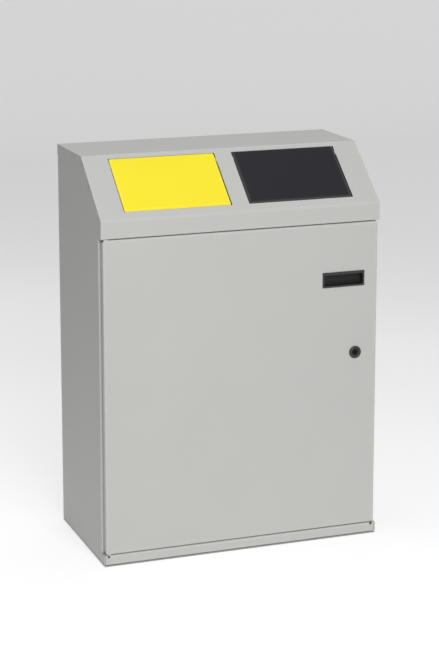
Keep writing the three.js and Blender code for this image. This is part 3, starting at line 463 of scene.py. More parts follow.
# Sheet cut flat and then folded. The first loop is its edge and the rest are holes, all as (across, along)
# on the developed face. The axes are an origin and the ways of across, along and inward. The last argument
# picks the path along for a place across.
def foldedSheet(name, loops, across, alongPaths, axes, choose=lambda u: 0):
    points, edges = [], []
    for loop in loops:
        first, count = len(points), len(loop)
        points += [Vector(point) for point in loop]
        edges += [(first + k, first + (k + 1) % count) for k in range(count)]
    flat, _, faces, *_ = delaunay_2d_cdt(points, edges, [], 0, 1e-6)
    bm = bmesh.new()
    verts = [bm.verts.new((p.x, p.y, 0)) for p in flat]
    for face in faces:
        middle = sum((flat[i] for i in face), Vector((0, 0))) / len(face)
        if sum(insideLoop(middle, loop) for loop in loops) == 1:
            bm.faces.new([verts[i] for i in face])
    bmesh.ops.dissolve_limit(bm, angle_limit=0.01, verts=bm.verts, edges=bm.edges)
    planes = [((1, 0, 0), cut) for cut in across.cuts()]
    planes += [((0, 1, 0), cut) for path in alongPaths for cut in path.cuts()]
    for way, cut in planes:
        geometry = bm.verts[:] + bm.edges[:] + bm.faces[:]
        bmesh.ops.bisect_plane(bm, geom=geometry, dist=2e-6, plane_co=Vector(way) * cut, plane_no=way)
    # The bend mask makes the coat paler: thinner coat and a painted highlight.
    bend = bm.verts.layers.float.new("bend")
    origin, acrossWay, alongWay, inwardWay = axes

    def folded(u, s, depth):
        reach, tilt = across.place(u)
        reach = reach + tilt * depth
        point, normal = alongPaths[choose(u)].place(s)
        point = point + normal * reach.y
        return origin + acrossWay * reach.x + alongWay * point.x + inwardWay * point.y

    behind = {}
    front = list(bm.faces)
    rim = [edge for edge in bm.edges if edge.is_boundary]
    for vert in list(bm.verts):
        u, s = vert.co.x, vert.co.y
        inner = bm.verts.new(folded(u, s, steel["sheet"]))
        inner[bend] = vert[bend] = max(across.bend(u), alongPaths[choose(u)].bend(s))
        vert.co = folded(u, s, 0)
        behind[vert] = inner
    for face in front:
        bm.faces.new([behind[vert] for vert in reversed(face.verts)])
    for edge in rim:
        a, b = edge.verts
        bm.faces.new((a, b, behind[b], behind[a]))
    bmesh.ops.recalc_face_normals(bm, faces=bm.faces)
    if bm.calc_volume(signed=True) < 0:
        bmesh.ops.reverse_faces(bm, faces=bm.faces)
    return settle(roundEdges(fromBmesh(name, bm), steel["cutEdge"]))


# Geometry Nodes trees

def newTree(name, inputs):
    tree = bpy.data.node_groups.new(name, "GeometryNodeTree")
    face = tree.interface
    face.new_socket("Geometry", in_out="INPUT", socket_type="NodeSocketGeometry")
    for label, kind in inputs.items():
        face.new_socket(label, in_out="INPUT", socket_type=kind)
    face.new_socket("Geometry", in_out="OUTPUT", socket_type="NodeSocketGeometry")
    return tree, addNode(tree, "NodeGroupInput").outputs


def closeTree(tree, geometry, material):
    real = addNode(tree, "GeometryNodeRealizeInstances", {"Geometry": geometry}).outputs["Geometry"]
    done = addNode(tree, "GeometryNodeSetMaterial", {"Geometry": real, "Material": material})
    addNode(tree, "NodeGroupOutput", {"Geometry": done.outputs["Geometry"]})
    return tree


def foldedStripTree():
    tree, given = newTree("foldedStrip", {
        "Bend Steps": "NodeSocketInt", "Run": "NodeSocketVector", "Material": "NodeSocketMaterial"})
    radius = addNode(tree, "GeometryNodeInputNamedAttribute", {"Name": "bendRadius"}).outputs["Attribute"]
    line = addNode(tree, "GeometryNodeMeshToCurve", {"Mesh": given["Geometry"]}).outputs["Curve"]
    fillet = addNode(tree, "GeometryNodeFilletCurve", {
        "Curve": line, "Count": given["Bend Steps"], "Radius": radius}, mode="POLY").outputs["Curve"]
    section = addNode(tree, "GeometryNodeCurveToMesh", {"Curve": fillet}).outputs["Mesh"]
    strip = addNode(tree, "GeometryNodeExtrudeMesh", {
        "Mesh": section, "Offset": given["Run"], "Offset Scale": 1.0}, mode="EDGES").outputs["Mesh"]
    return closeTree(tree, strip, given["Material"])


def bentWireTree():
    tree, given = newTree("bentWire", {
        "Wire Radius": "NodeSocketFloat", "Sides": "NodeSocketInt", "Bend Radius": "NodeSocketFloat",
        "Bend Steps": "NodeSocketInt", "Material": "NodeSocketMaterial"})
    line = addNode(tree, "GeometryNodeMeshToCurve", {"Mesh": given["Geometry"]}).outputs["Curve"]
    fillet = addNode(tree, "GeometryNodeFilletCurve", {
        "Curve": line, "Count": given["Bend Steps"], "Radius": given["Bend Radius"], "Limit Radius": True},
        mode="POLY").outputs["Curve"]
    section = addNode(tree, "GeometryNodeCurvePrimitiveCircle", {
        "Resolution": given["Sides"], "Radius": given["Wire Radius"]}).outputs["Curve"]
    wire = addNode(tree, "GeometryNodeCurveToMesh", {
        "Curve": fillet, "Profile Curve": section, "Fill Caps": True}).outputs["Mesh"]
    return closeTree(tree, wire, given["Material"])


def turnedCopiesTree():
    tree, given = newTree("turnedCopies", {"Master": "NodeSocketObject", "Material": "NodeSocketMaterial"})
    aim = addNode(tree, "GeometryNodeInputNamedAttribute", {"Name": "aim"}, data_type="FLOAT_VECTOR")
    spin = addNode(tree, "FunctionNodeAlignRotationToVector", {"Vector": aim.outputs["Attribute"]}, axis="Z")
    master = addNode(tree, "GeometryNodeObjectInfo", {"Object": given["Master"]}).outputs["Geometry"]
    copies = addNode(tree, "GeometryNodeInstanceOnPoints", {
        "Points": given["Geometry"], "Instance": master, "Rotation": spin.outputs["Rotation"]})
    return closeTree(tree, copies.outputs["Instances"], given["Material"])


trees = {"strip": foldedStripTree(), "wire": bentWireTree(), "copies": turnedCopiesTree()}


def runTree(obj, tree, inputs):
    modifier = obj.modifiers.new(tree.name, "NODES")
    modifier.node_group = tree
    sockets = {item.name: item.identifier for item in tree.interface.items_tree if item.in_out == "INPUT"}
    for label, value in inputs.items():
        modifier[sockets[label]] = value
    return obj


# Straight folded section from corner points. Bends that turn left are outside ones.
def foldedStrip(name, corners, run, offset):
    strip = polyline(name, corners)
    radii = strip.data.attributes.new("bendRadius", "FLOAT", "POINT")
    ways = [(Vector(b) - Vector(a)).normalized() for a, b in zip(corners, corners[1:])]
    for i in range(1, len(corners) - 1):
        outside = ways[i - 1].cross(ways[i]).dot(Vector(run)) * offset > 0
        radii.data[i].value = steel["fold"] - (0 if outside else steel["sheet"])
    return runTree(strip, trees["strip"], {
        "Bend Steps": steel["bendSteps"], "Run": run, "Material": finishes["grey_powder_coat"]})


def bentWire(name, points, radius, bendRadius, bendSteps, sides, slot):
    return settle(runTree(polyline(name, points), trees["wire"], {
        "Wire Radius": radius, "Sides": sides, "Bend Radius": bendRadius, "Bend Steps": bendSteps,
        "Material": finishes[slot]}))


# Copies of a master at the given (point, aim) places.
def copiesOf(name, master, places, slot):
    points = meshObject(name, [point for point, _ in places], [])
    aims = points.data.attributes.new("aim", "FLOAT_VECTOR", "POINT")
    for i, (_, aim) in enumerate(places):
        aims.data[i].vector = aim
    applied(runTree(points, trees["copies"], {"Master": master, "Material": finishes[slot]}))
    bpy.data.objects.remove(master)
    return points


print("trees made:", ", ".join(tree.name for tree in trees.values()))


# Door: one sheet folded into a shallow pan, its lips mitred
door = {
    "depth": 17 * mm,
    "lip": 14 * mm,
    "notch": 2.2 * mm,   # open corner of the pan
    "mitre": 0.5 * mm,
    "lockHole": 9.8 * mm,
    "bushHole": 4.2 * mm,
    "pullRim": 2 * mm,   # rim beyond the pull's hole
    "pullCorner": 2 * mm,
}
lockAt = centreOf("lock_barrel")
pinAt = centreOf("hinge_pin_top")
pullLow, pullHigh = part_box("pull_handle")


def doorPan():
    half, low, high = doorHigh.x, doorLow.z, doorHigh.z
    depth, lip, notch, rim = door["depth"], door["lip"], door["notch"], door["pullRim"]
    across = FoldPath([(lip - half, depth), (-half, depth), (-half, 0), (half, 0), (half, depth),
                       (half - lip, depth)], anchor=(2, -half))
    along = FoldPath([(low + lip, depth), (low, depth), (low, 0), (high, 0), (high, depth),
                      (high - lip, depth)], anchor=(2, low))
    reach = lip + door["mitre"]
    root = half - notch
    right = [
        (half - reach, along.first), (root, along.at(1, -notch)), (root, low + notch),
        (across.at(4, notch), low + notch), (across.last, low + reach), (across.last, high - reach),
        (across.at(4, notch), high - notch), (root, high - notch), (root, along.at(4, notch)),
        (half - reach, along.last),
    ]
    outline = right + [(-u, s) for u, s in reversed(right)]
    pinDepth = pinAt.y - frontY
    pullHole = (pullLow.x + rim, pullHigh.x - rim, pullLow.z + rim, pullHigh.z - rim)
    holes = [
        roundedLoop(*pullHole, door["pullCorner"]),
        circleLoop(lockAt.x, lockAt.z, door["lockHole"]),
        circleLoop(pinAt.x, along.at(1, depth - pinDepth), door["bushHole"]),
        circleLoop(pinAt.x, along.at(3, pinDepth), door["bushHole"]),
    ]
    return foldedSheet("doorPan", [outline, *holes], across, [along], (yWay * frontY, xWay, zWay, yWay))


mount(doorPan(), "door", ["door_skin"], "grey_powder_coat")

# Hat section spot welded behind the door
hat = {"width": 28 * mm, "flange": 14 * mm, "depth": 12 * mm}


def doorHat():
    low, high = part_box("door_stiffener")
    near = low.y
    half = hat["width"] / 2
    corners = [(-half - hat["flange"], near), (-half, near), (-half, near + hat["depth"]),
               (half, near + hat["depth"]), (half, near), (half + hat["flange"], near)]
    strip = foldedStrip("doorHat", [(x, y, low.z) for x, y in corners], (0, 0, high.z - low.z), 1)
    return settle(roundEdges(thicken(strip, steel["sheet"]), steel["cutEdge"]))


mount(doorHat(), "door", ["door_stiffener"], "grey_powder_coat")

# Hood: one sheet over the back, top, slope and band, with cheeks inside the side panels
hood = {
    "slopeRun": 146.6 * mm,
    "bandHeight": 40.7 * mm,
    "lip": 25 * mm,
    "flange": 22 * mm,
    "cheek": 16 * mm,
    "cheekBack": 5 * mm,       # rear end of the cheeks from the back
    "cheekRoot": 0.5 * mm,     # where the cheeks' reliefs start, inwards of the bend's corner
    "cheekSlant": 1.5 * mm,
    "openingMiddle": 145.75 * mm,
    "openingHalf": 125.65 * mm,
    "openingSpan": (12.4 * mm, 167.74 * mm),  # down the slope from the upper fold
    "openingCorner": 1.0 * mm,
    "pinHole": 2.8 * mm,
}
slopeTop = Vector((0, frontY + hood["slopeRun"], topZ))
bandTop = Vector((0, frontY, hoodFoot + hood["bandHeight"]))
downSlope = (bandTop - slopeTop).normalized()
intoSlope = Vector((0, -downSlope.z, downSlope.y))
slopeTurn = math.atan2(-downSlope.z, -downSlope.y)


# Point of the slope: x, distance down from the upper fold, depth below the outer face.
def onSlope(x, down, inward):
    return slopeTop + downSlope * down + intoSlope * inward + xWay * x


def hoodSheet():
    half, cheek = hoodHigh.x, hood["cheek"]
    across = FoldPath([(-half, cheek), (-half, 0), (half, 0), (half, cheek)], (1, -half), steel["tightFold"])
    corners = [(backY, topZ - hood["lip"]), (backY, topZ), (slopeTop.y, topZ), (frontY, bandTop.z),
               (frontY, hoodFoot), (frontY + hood["flange"], hoodFoot)]
    along = FoldPath(corners)
    spans = [(Vector(b) - Vector(a)).length for a, b in zip(corners, corners[1:])]
    turns = [math.pi / 2, slopeTurn, math.pi / 2 - slopeTurn, math.pi / 2]
    root = half - hood["cheekRoot"]
    slant = root + hood["cheekSlant"]
    edge = half - steel["air"]
    slit = steel["slit"]
    ease = steel["fold"] + slit
    right = [(edge, along.first), (edge, along.at(1, -2 * mm))]
    for run in (1, 2, 3):
        start = hood["cheekBack"] if run == 1 else 0.0
        before = math.tan(turns[run - 1] / 2) if run > 1 else 0.0
        after = math.tan(turns[run] / 2) if run < 3 else 0.0
        stop = spans[run] - (0 if after else ease)
        right += [
            (root, along.at(run, start + before * ease)),
            (slant, along.at(run, start + before * ease)),
            (across.last, along.at(run, start + before * cheek + slit)),
            (across.last, along.at(run, stop - after * cheek - slit)),
            (slant, along.at(run, stop - after * ease)),
            (root, along.at(run, stop - after * ease)),
        ]
    right.append((edge, along.last))
    outline = right + [(-u, s) for u, s in reversed(right)]
    openTop, openFoot = (along.at(2, down) for down in hood["openingSpan"])
    half, corner = hood["openingHalf"], hood["openingCorner"]
    middles = [way * hood["openingMiddle"] for _, way in hands]
    openings = [roundedLoop(x - half, x + half, openTop, openFoot, corner, 3) for x in middles]
    pinHole = circleLoop(pinAt.x, along.at(4, pinAt.y - frontY), hood["pinHole"])
    axes = (Vector(), xWay, yWay, zWay)
    return foldedSheet("hoodSheet", [outline, *openings, pinHole], across, [along], axes)


# Lugs bent down beside the openings, with a hole for the axle
lug = {"start": 24.6 * mm, "length": 11.4 * mm, "depth": 16 * mm, "corner": 3 * mm, "hole": 2.8 * mm}
axle = {"down": 30.3 * mm, "inward": 9 * mm}
flapHalf = 123.85 * mm
lugInner = flapHalf + 0.6 * mm


def hoodLug(x):
    start, length, depth, corner = lug["start"], lug["length"], lug["depth"], lug["corner"]
    across = FoldPath([(0, 0), (depth, 0)])
    along = FoldPath([(start, 0), (start + length, 0)], anchor=(0, start))
    outline = roundedLoop(steel["sheet"] / 2, depth, start, start + length, corner)
    hole = circleLoop(axle["inward"], axle["down"], lug["hole"])
    axes = (onSlope(x, 0, 0), intoSlope, downSlope, xWay)
    return foldedSheet("lug", [outline, hole], across, [along], axes)


lugPlaces = [flapWay * hood["openingMiddle"] + way * lugInner - (steel["sheet"] if way < 0 else 0)
             for _, flapWay in hands for _, way in hands]
mount(joined("hood", [hoodSheet(), *map(hoodLug, lugPlaces)]), "root", ["hood_sheet"], "grey_powder_coat")

# Side panels, with slots for the hood's studs
side = {
    "doorSetback": 20.3 * mm,
    "doorFlange": 24 * mm,
    "backFlange": 20 * mm,
    "footFlange": 20 * mm,
    "footFlangeFront": 21 * mm,
    "rivetHole": 3.7 * mm,
    "stemHole": 3.3 * mm,
    "foldEase": 0.5 * mm,       # clear of a bend
    "studInset": 8.5 * mm,
    "studsOnTop": (23 * mm, 98 * mm),  # from the slope's upper fold, backwards
    "studsOnSlope": (16.8 * mm, 85.2 * mm, 158.9 * mm),
    "studOnBand": 16 * mm,
    "stud": (12 * mm, 4 * mm),
    "studEnd": 0.98,            # roundness of a stud's ends
    "studDome": ((-1.9, 0.0), (-0.55, 0.0), (-0.2, 0.12), (-0.1, 0.5)),  # mm out and mm inwards
}


# Places of the studs: y, z and the turn of the edge that each lies along.
def studPlaces():
    inset = side["studInset"]
    onTop = [(slopeTop.y + back, topZ - inset, 0.0) for back in side["studsOnTop"]]
    onFace = [onSlope(0, down, inset) for down in side["studsOnSlope"]]
    onBand = (frontY + inset, bandTop.z - side["studOnBand"], math.pi / 2)
    return onTop + [(p.y, p.z, slopeTurn) for p in onFace] + [onBand]


# Outline of a stud or of its slot, lying along the first axis.
def pill(grow):
    length, height = (size / 2 + grow for size in side["stud"])
    return roundedLoop(-length, length, -height, height, height * side["studEnd"])


def studSlot(y, z, turn):
    spin = Matrix.Rotation(turn, 2)
    placed = [spin @ Vector(p) + Vector((y, z)) for p in pill(steel["air"])]
    return [(p.y, p.x) for p in placed]


def sidePanel(name, way):
    slit, ease = steel["slit"], side["foldEase"]
    gap = steel["fold"] + ease
    setback = frontY + side["doorSetback"]
    rear = [(backY, 0), (backY, side["backFlange"])]
    doorPath = FoldPath([(setback, side["doorFlange"]), (setback, 0), *rear], (1, setback))
    rearPath = FoldPath([(frontY, 0), *rear], (0, frontY))
    topPath = FoldPath([(frontY, 0), (backY, 0)], (0, frontY))
    across = FoldPath([(footZ, side["footFlange"]), (footZ, 0), (topZ, 0)], (1, footZ), steel["tightFold"])
    lipFoot = topZ - hood["lip"] - steel["air"]
    flangeFront = frontY + side["footFlangeFront"]
    flangeRear = backY - gap
    outline = [
        (footZ, frontY), (plinthTop, frontY), (plinthTop, setback + gap), (plinthTop + slit, setback + gap),
        (plinthTop + slit, doorPath.first), (hoodFoot - slit, doorPath.first),
        (hoodFoot - slit, setback + gap), (hoodFoot, setback + gap), (hoodFoot, frontY), (bandTop.z, frontY),
        (topZ, slopeTop.y), (topZ, backY), (lipFoot, backY), (lipFoot, flangeRear),
        (lipFoot - slit, flangeRear), (lipFoot - slit, rearPath.last), (footZ + gap, rearPath.last),
        (footZ + gap, flangeRear), (footZ + ease, flangeRear), (across.first, flangeRear),
        (across.first, flangeFront), (footZ + ease, flangeFront), (footZ + ease, flangeFront - slit),
        (footZ, flangeFront - slit),
    ]
    slots = [studSlot(*place) for place in studPlaces()]
    rivetAt = doorPath.at(2, halfWidth - centreOf("back_rivet_right_1").x)
    rearHoles = [circleLoop(centreOf(f"back_rivet_right_{i}").z, rivetAt, side["rivetHole"])
                 for i in range(1, 5)]
    feet = [centreOf(f"foot_{end}_right") for end in ("front", "rear")]
    padInset = side["footFlange"] - (halfWidth - feet[0].x)
    padHoles = [circleLoop(across.at(0, padInset), pad.y, side["stemHole"], 20) for pad in feet]
    loops = [outline, *slots, *rearHoles, *padHoles]
    if way > 0:
        strikeAt = [centreOf(f"strike_rivet_{end}") for end in ("upper", "lower")]
        into = side["doorFlange"] - (halfWidth - strikeAt[0].x)
        loops += [circleLoop(rivet.z, doorPath.at(0, into), side["rivetHole"]) for rivet in strikeAt]

    def choose(z):
        if z > lipFoot - slit / 2:
            return 2
        return 0 if plinthTop + slit / 2 < z < hoodFoot - slit / 2 else 1

    axes = (xWay * way * halfWidth, zWay, yWay, -xWay * way)
    return foldedSheet(name, loops, across, [doorPath, rearPath, topPath], axes, choose)


for name, way in hands:
    mount(sidePanel(f"{name}Side", way), "root", [f"side_panel_{name}"], "grey_powder_coat")


# Studs of the hood's cheeks, slightly domed, standing in the side panels' slots
def hoodStud(way, y, z, turn):
    spin = Matrix.Rotation(turn, 3, "X")
    base = Vector((way * halfWidth, y, z))
    rings = [[base + spin @ Vector((way * out * mm, run, up)) for run, up in pill(-inset * mm)]
             for out, inset in side["studDome"]]
    return lofted("stud", rings)


def hoodStuds():
    return settle(joined("hoodStuds", [hoodStud(way, *place) for _, way in hands for place in studPlaces()]))


# The studs take the paler coat, a painted highlight on their ends.
mount(hoodStuds(), "root", [], "grey_powder_coat", "tab_ends_painted_highlight")

# Plinth: channel with notches at its upper corners
plinth = {"flange": 24 * mm, "base": 20 * mm, "notch": (6 * mm, 5 * mm), "notchInset": 10.5 * mm}


def plinthChannel():
    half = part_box("plinth_front")[1].x
    across = FoldPath([(-half, 0), (half, 0)], (0, -half))
    along = FoldPath([(frontY + plinth["flange"], plinthTop), (frontY, plinthTop), (frontY, footZ),
                      (frontY + plinth["base"], footZ)])
    outline = [(-half, along.first), (half, along.first), (half, along.last), (-half, along.last)]
    width, drop = plinth["notch"]
    notches = []
    rear = along.at(0, plinth["flange"] - 2 * steel["fold"])
    for _, way in hands:
        x = way * (halfWidth - plinth["notchInset"])
        notches.append(roundedLoop(x - width / 2, x + width / 2, rear, along.at(1, drop), 0.8 * mm, 3))
    lowerPin = centreOf("hinge_pin_bottom")
    pinHole = circleLoop(lowerPin.x, along.at(0, plinth["flange"] - (lowerPin.y - frontY)), hood["pinHole"])
    return foldedSheet("plinth", [outline, *notches, pinHole], across, [along], (Vector(), xWay, yWay, zWay))


mount(plinthChannel(), "root", ["plinth_front"], "grey_powder_coat")

# Rail behind the door's head, and the channel between the liners
rail = {"height": 21 * mm, "depth": 22.7 * mm}


def headRail():
    low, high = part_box("door_head_rail")
    corners = [low + zWay * rail["height"], low, low + yWay * rail["depth"]]
    strip = foldedStrip("headRail", corners, (high.x - low.x, 0, 0), 1)
    return settle(roundEdges(thicken(strip, steel["sheet"], 1.0), steel["cutEdge"]))


mount(headRail(), "root", ["door_head_rail"], "grey_powder_coat")
plainSheets = {"linerGuide": "liner_guide", "backPanel": "back_panel", "floorPan": "floor_pan",
               "hoodDivider": "hood_divider"}
for name, node in plainSheets.items():
    mount(softCopy(name, node), "root", [node], "grey_powder_coat")
print("cabinet and door folded")

# Flaps: pans with side flanges on the axle and a stop lip under the slope
flap = {
    "span": (13.9 * mm, 166.24 * mm),  # down the slope
    "flange": 14 * mm,
    "step": 5 * mm,
    "lip": 10 * mm,
    "fold": 2 * mm,
    "relief": 1.6 * mm,  # notch at the upper corners
    "slit": (0.4 * mm, 0.6 * mm),  # between the side flanges and the stop lip
    "bushHole": 4.2 * mm,
}


def flapPan(name, way):
    middle = way * hood["openingMiddle"]
    x0, x1 = middle - flapHalf, middle + flapHalf
    top, foot = flap["span"]
    flange, notch = flap["flange"], flap["fold"]
    across = FoldPath([(x0, flange), (x0, 0), (x1, 0), (x1, flange)], (1, x0), flap["fold"])
    along = FoldPath([(top, 0), (foot, 0), (foot, flap["step"]), (foot + flap["lip"], flap["step"])],
                     (0, top), flap["fold"])
    relief, (slitIn, slitDown) = flap["relief"], flap["slit"]
    edge = x1 - slitIn
    right = [(x1 - relief, top), (x1 - relief, top + relief), (across.at(2, relief), top + relief),
             (across.at(2, relief), top), (across.last, top), (across.last, foot - notch),
             (edge, foot - notch), (edge, along.at(1, slitDown)), (edge, along.last)]
    outline = right + [(2 * middle - u, s) for u, s in reversed(right)]
    holes = [circleLoop(u, axle["down"], flap["bushHole"], 28)
             for u in (across.at(2, axle["inward"]), across.at(0, flange - axle["inward"]))]
    return foldedSheet(name, [outline, *holes], across, [along], (slopeTop, xWay, downSlope, intoSlope))


mount(flapPan("yellowFlap", -1), "flap_left", ["flap_panel_left"], "yellow_powder_coat")
mount(flapPan("blackFlap", 1), "flap_right", ["flap_panel_right"], "black_powder_coat")

# Axles, bushes, springs and buffers of the flaps
axleBar = {"radius": 2.5 * mm, "head": (4 * mm, 2 * mm), "chamfer": 0.4 * mm}


def widthOf(node):
    low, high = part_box(node)
    return high.x - low.x


# Middle of a node's left or right end, where a bar along X starts.
def endOf(node, way):
    low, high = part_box(node)
    return Vector((high.x if way > 0 else low.x, (low.y + high.y) / 2, (low.z + high.z) / 2))


def flapAxle(name, node):
    length = widthOf(node)
    radius, (headRadius, head), chamfer = axleBar["radius"], axleBar["head"], axleBar["chamfer"]
    half = [(0, 0), (headRadius - chamfer, 0), (headRadius, chamfer), (headRadius, head), (radius, head)]
    master = turned(name + "Master", half + [(r, length - h) for r, h in reversed(half)], 28)
    return copiesOf(name, master, [(endOf(node, -1), xWay)], "zinc_plated_steel")


bush = {"bore": 2.8 * mm, "body": 3.9 * mm, "collar": 5.5 * mm, "flapCollar": 1 * mm, "doorCollar": 1.4 * mm}


def bushMaster(name, length, collar):
    bore, body, wide = bush["bore"], bush["body"], bush["collar"]
    profile = [(bore, 0), (body, 0), (body, length - collar), (wide, length - collar), (wide, length),
               (bore, length), (bore, 0)]
    return turned(name, profile, 28, 0.15 * mm)


def flapBushes(name, side):
    ends = (("inner", -side), ("outer", side))
    places = [(endOf(f"flap_bush_{name}_{end}", way), -way * xWay) for end, way in ends]
    master = bushMaster("flapBush", widthOf(f"flap_bush_{name}_inner"), bush["flapCollar"])
    return copiesOf(f"{name}FlapBushes", master, places, "natural_nylon")


spring = {
    "wire": 0.7 * mm,
    "radius": 4.3 * mm,
    "turns": 5,
    "pitch": 2.2 * mm,
    "inset": 7.5 * mm,        # first turn from the flap's side
    "legUp": 24 * mm,
    "legDown": 30 * mm,
    "legBend": 1.5 * mm,
    "stepsPerTurn": 20,
}


def flapSpring(name, way):
    radius, steps, pitch = spring["radius"], spring["stepsPerTurn"], spring["pitch"]
    start = way * hood["openingMiddle"] - flapHalf + spring["inset"]
    touch = axle["inward"] - steel["sheet"] - steel["air"] - spring["wire"]
    ease = (2 * radius + touch) / 3

    def point(x, down, up):
        return onSlope(x, axle["down"] + down, axle["inward"] - up)

    coil = []
    for k in range(spring["turns"] * steps + 1):
        turn = 2 * math.pi * k / steps
        coil.append(point(start + pitch * k / steps, radius * math.sin(turn), radius * math.cos(turn)))
    end = start + pitch * spring["turns"]
    points = [point(start, -spring["legUp"], touch), point(start, -0.3 * spring["legUp"], ease), *coil,
              point(end, 0.3 * spring["legDown"], ease), point(end, spring["legDown"], touch)]
    wire = bentWire(name, points, spring["wire"], spring["legBend"], 4, 10, "zinc_plated_steel")
    return wire, coil


for name, way in hands:
    axleNode = f"flap_axle_{name}"
    bushNodes = [f"flap_bush_{name}_outer", f"flap_bush_{name}_inner"]
    mount(flapAxle(f"{name}FlapAxle", axleNode), "root", [axleNode], "zinc_plated_steel")
    mount(flapBushes(name, way), f"flap_{name}", bushNodes, "natural_nylon")
    wire, coil = flapSpring(f"{name}FlapSpring", way)
    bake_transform(wire)
    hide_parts(f"flap_spring_{name}")

bufferShape = {"radius": 5 * mm, "footEdge": 0.3 * mm, "edge": 0.8 * mm, "dome": 0.1 * mm}


def bufferMaster(name, thickness):
    radius, footEdge, edge, dome = (bufferShape[key] for key in ("radius", "footEdge", "edge", "dome"))
    profile = [(0, 0), (radius - footEdge, 0), (radius, footEdge), (radius, thickness - edge),
               (radius - edge, thickness - dome), (0, thickness)]
    return turned(name, profile, 28, 0.2 * mm)


def flapBuffers():
    nodes = [f"flap_buffer_{name}_{end}" for name, _ in hands for end in ("outer", "inner")]
    thickness = flap["step"] - steel["sheet"] - 2 * steel["air"]
    places = [(centreOf(node) - intoSlope * thickness / 2, intoSlope) for node in nodes]
    return copiesOf("flapBuffers", bufferMaster("flapBuffer", thickness), places, "black_rubber"), nodes


def doorBuffers():
    nodes = ["door_buffer_upper", "door_buffer_lower"]
    low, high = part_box(nodes[0])
    thickness = high.y - low.y
    places = [(centreOf(node) + yWay * (thickness / 2), -yWay) for node in nodes]
    return copiesOf("doorBuffers", bufferMaster("doorBuffer", thickness), places, "black_rubber"), nodes


for buffers, nodes in (flapBuffers(), doorBuffers()):
    mount(buffers, "root", nodes, "black_rubber")

# Feet, hinge pins, door bushes and rivets
foot = {
    "radius": 9 * mm,
    "seat": 1.7 * mm,
    "hollow": 0.5 * mm,  # under the pad's middle
    "chamfer": 0.6 * mm,
    "stem": 3 * mm,
    "barb": (4.2 * mm, 3.8 * mm, 1.2 * mm),  # radius, height it starts at, length
}


def feet():
    nodes = [f"foot_{end}_{name}" for end in ("front", "rear") for name, _ in hands]
    radius, seat, hollow = foot["radius"], foot["seat"], foot["hollow"]
    chamfer, stem = foot["chamfer"], foot["stem"]
    barb, barbFoot, barbLength = foot["barb"]
    tip = barbFoot + barbLength
    profile = [(0, hollow), (radius * 0.55, hollow), (radius * 0.6, 0), (radius - chamfer, 0),
               (radius, chamfer), (radius, seat), (stem, seat), (stem, barbFoot), (barb, barbFoot),
               (stem * 0.6, tip), (0, tip)]
    places = [(Vector((centreOf(node).x, centreOf(node).y, 0)), zWay) for node in nodes]
    return copiesOf("feet", turned("footMaster", profile, 36), places, "black_rubber"), nodes


pin = {"radius": 2.5 * mm, "head": (4 * mm, 2 * mm), "point": 0.6 * mm, "headChamfer": 0.5 * mm}


# Places on the door's axis: from the upper node's foot upwards and from the lower node's head downwards
def onHinge(upper, lower):
    foot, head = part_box(upper)[0].z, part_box(lower)[1].z
    return [((pinAt.x, pinAt.y, foot), zWay), ((pinAt.x, pinAt.y, head), -zWay)]


def hingePins():
    nodes = ["hinge_pin_top", "hinge_pin_bottom"]
    low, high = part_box(nodes[0])
    length = high.z - low.z
    radius, (wide, head), point, chamfer = pin["radius"], pin["head"], pin["point"], pin["headChamfer"]
    profile = [(0, 0), (radius - point, 0), (radius, point), (radius, length - head), (wide, length - head),
               (wide, length - chamfer), (wide - chamfer, length), (0, length)]
    master = turned("pinMaster", profile, 28)
    return copiesOf("hingePins", master, onHinge(*nodes), "zinc_plated_steel"), nodes


def doorBushes():
    nodes = ["door_bush_top", "door_bush_bottom"]
    low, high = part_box(nodes[0])
    master = bushMaster("doorBush", high.z - low.z, bush["doorCollar"])
    return copiesOf("doorBushes", master, onHinge(*nodes), "natural_nylon"), nodes


rivet = {
    "head": (3.5 * mm, 1.2 * mm, 0.12 * mm),       # radius, countersink, edge
    "shank": 2 * mm,
    "dimple": (1.05 * mm, 1.3 * mm, 0.35 * mm),    # inner radius, outer radius, depth
    "tail": (3 * mm, 2.5 * mm, 2.2 * mm, 1 * mm),  # radius, and three heights from its end
}


# Countersunk blind rivet: the mandrel's stub sits in a dimple of the head, the tail is behind the sheets.
def rivetMaster(name, length):
    (head, sink, edge), shank = rivet["head"], rivet["shank"]
    inner, outer, dimple = rivet["dimple"]
    tail, root, swell, taper = rivet["tail"]
    profile = [(0, dimple), (inner, dimple), (outer, edge), (1.6 * mm, 0), (head - 0.15 * mm, 0),
               (head, edge), (shank, sink), (shank, length - root), (tail, length - swell),
               (tail, length - taper), (tail * 0.6, length), (0, length)]
    return turned(name, profile, 24, 0.08 * mm)


def rivetsAt(name, nodes, way):
    low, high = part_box(nodes[0])
    outer = low.y if way > 0 else high.y
    places = [((centreOf(node).x, outer, centreOf(node).z), yWay * way) for node in nodes]
    return copiesOf(name, rivetMaster(name + "Master", high.y - low.y), places, "zinc_plated_steel")


backRivets = [f"back_rivet_{name}_{i}" for name, _ in hands for i in range(1, 5)]
strikeRivets = ["strike_rivet_upper", "strike_rivet_lower"]
mount(rivetsAt("backRivets", backRivets, -1), "root", backRivets, "zinc_plated_steel")
mount(rivetsAt("strikeRivets", strikeRivets, 1), "root", strikeRivets, "zinc_plated_steel")
mount(softCopy("strikePlate", "strike_plate"), "root", ["strike_plate"], "zinc_plated_steel")
fittings = ((feet(), "root", "black_rubber"), (hingePins(), "root", "zinc_plated_steel"),
            (doorBushes(), "door", "natural_nylon"))
for (piece, nodes), body, slot in fittings:
    mount(piece, body, nodes, slot)
print("flaps, fittings and fasteners made")

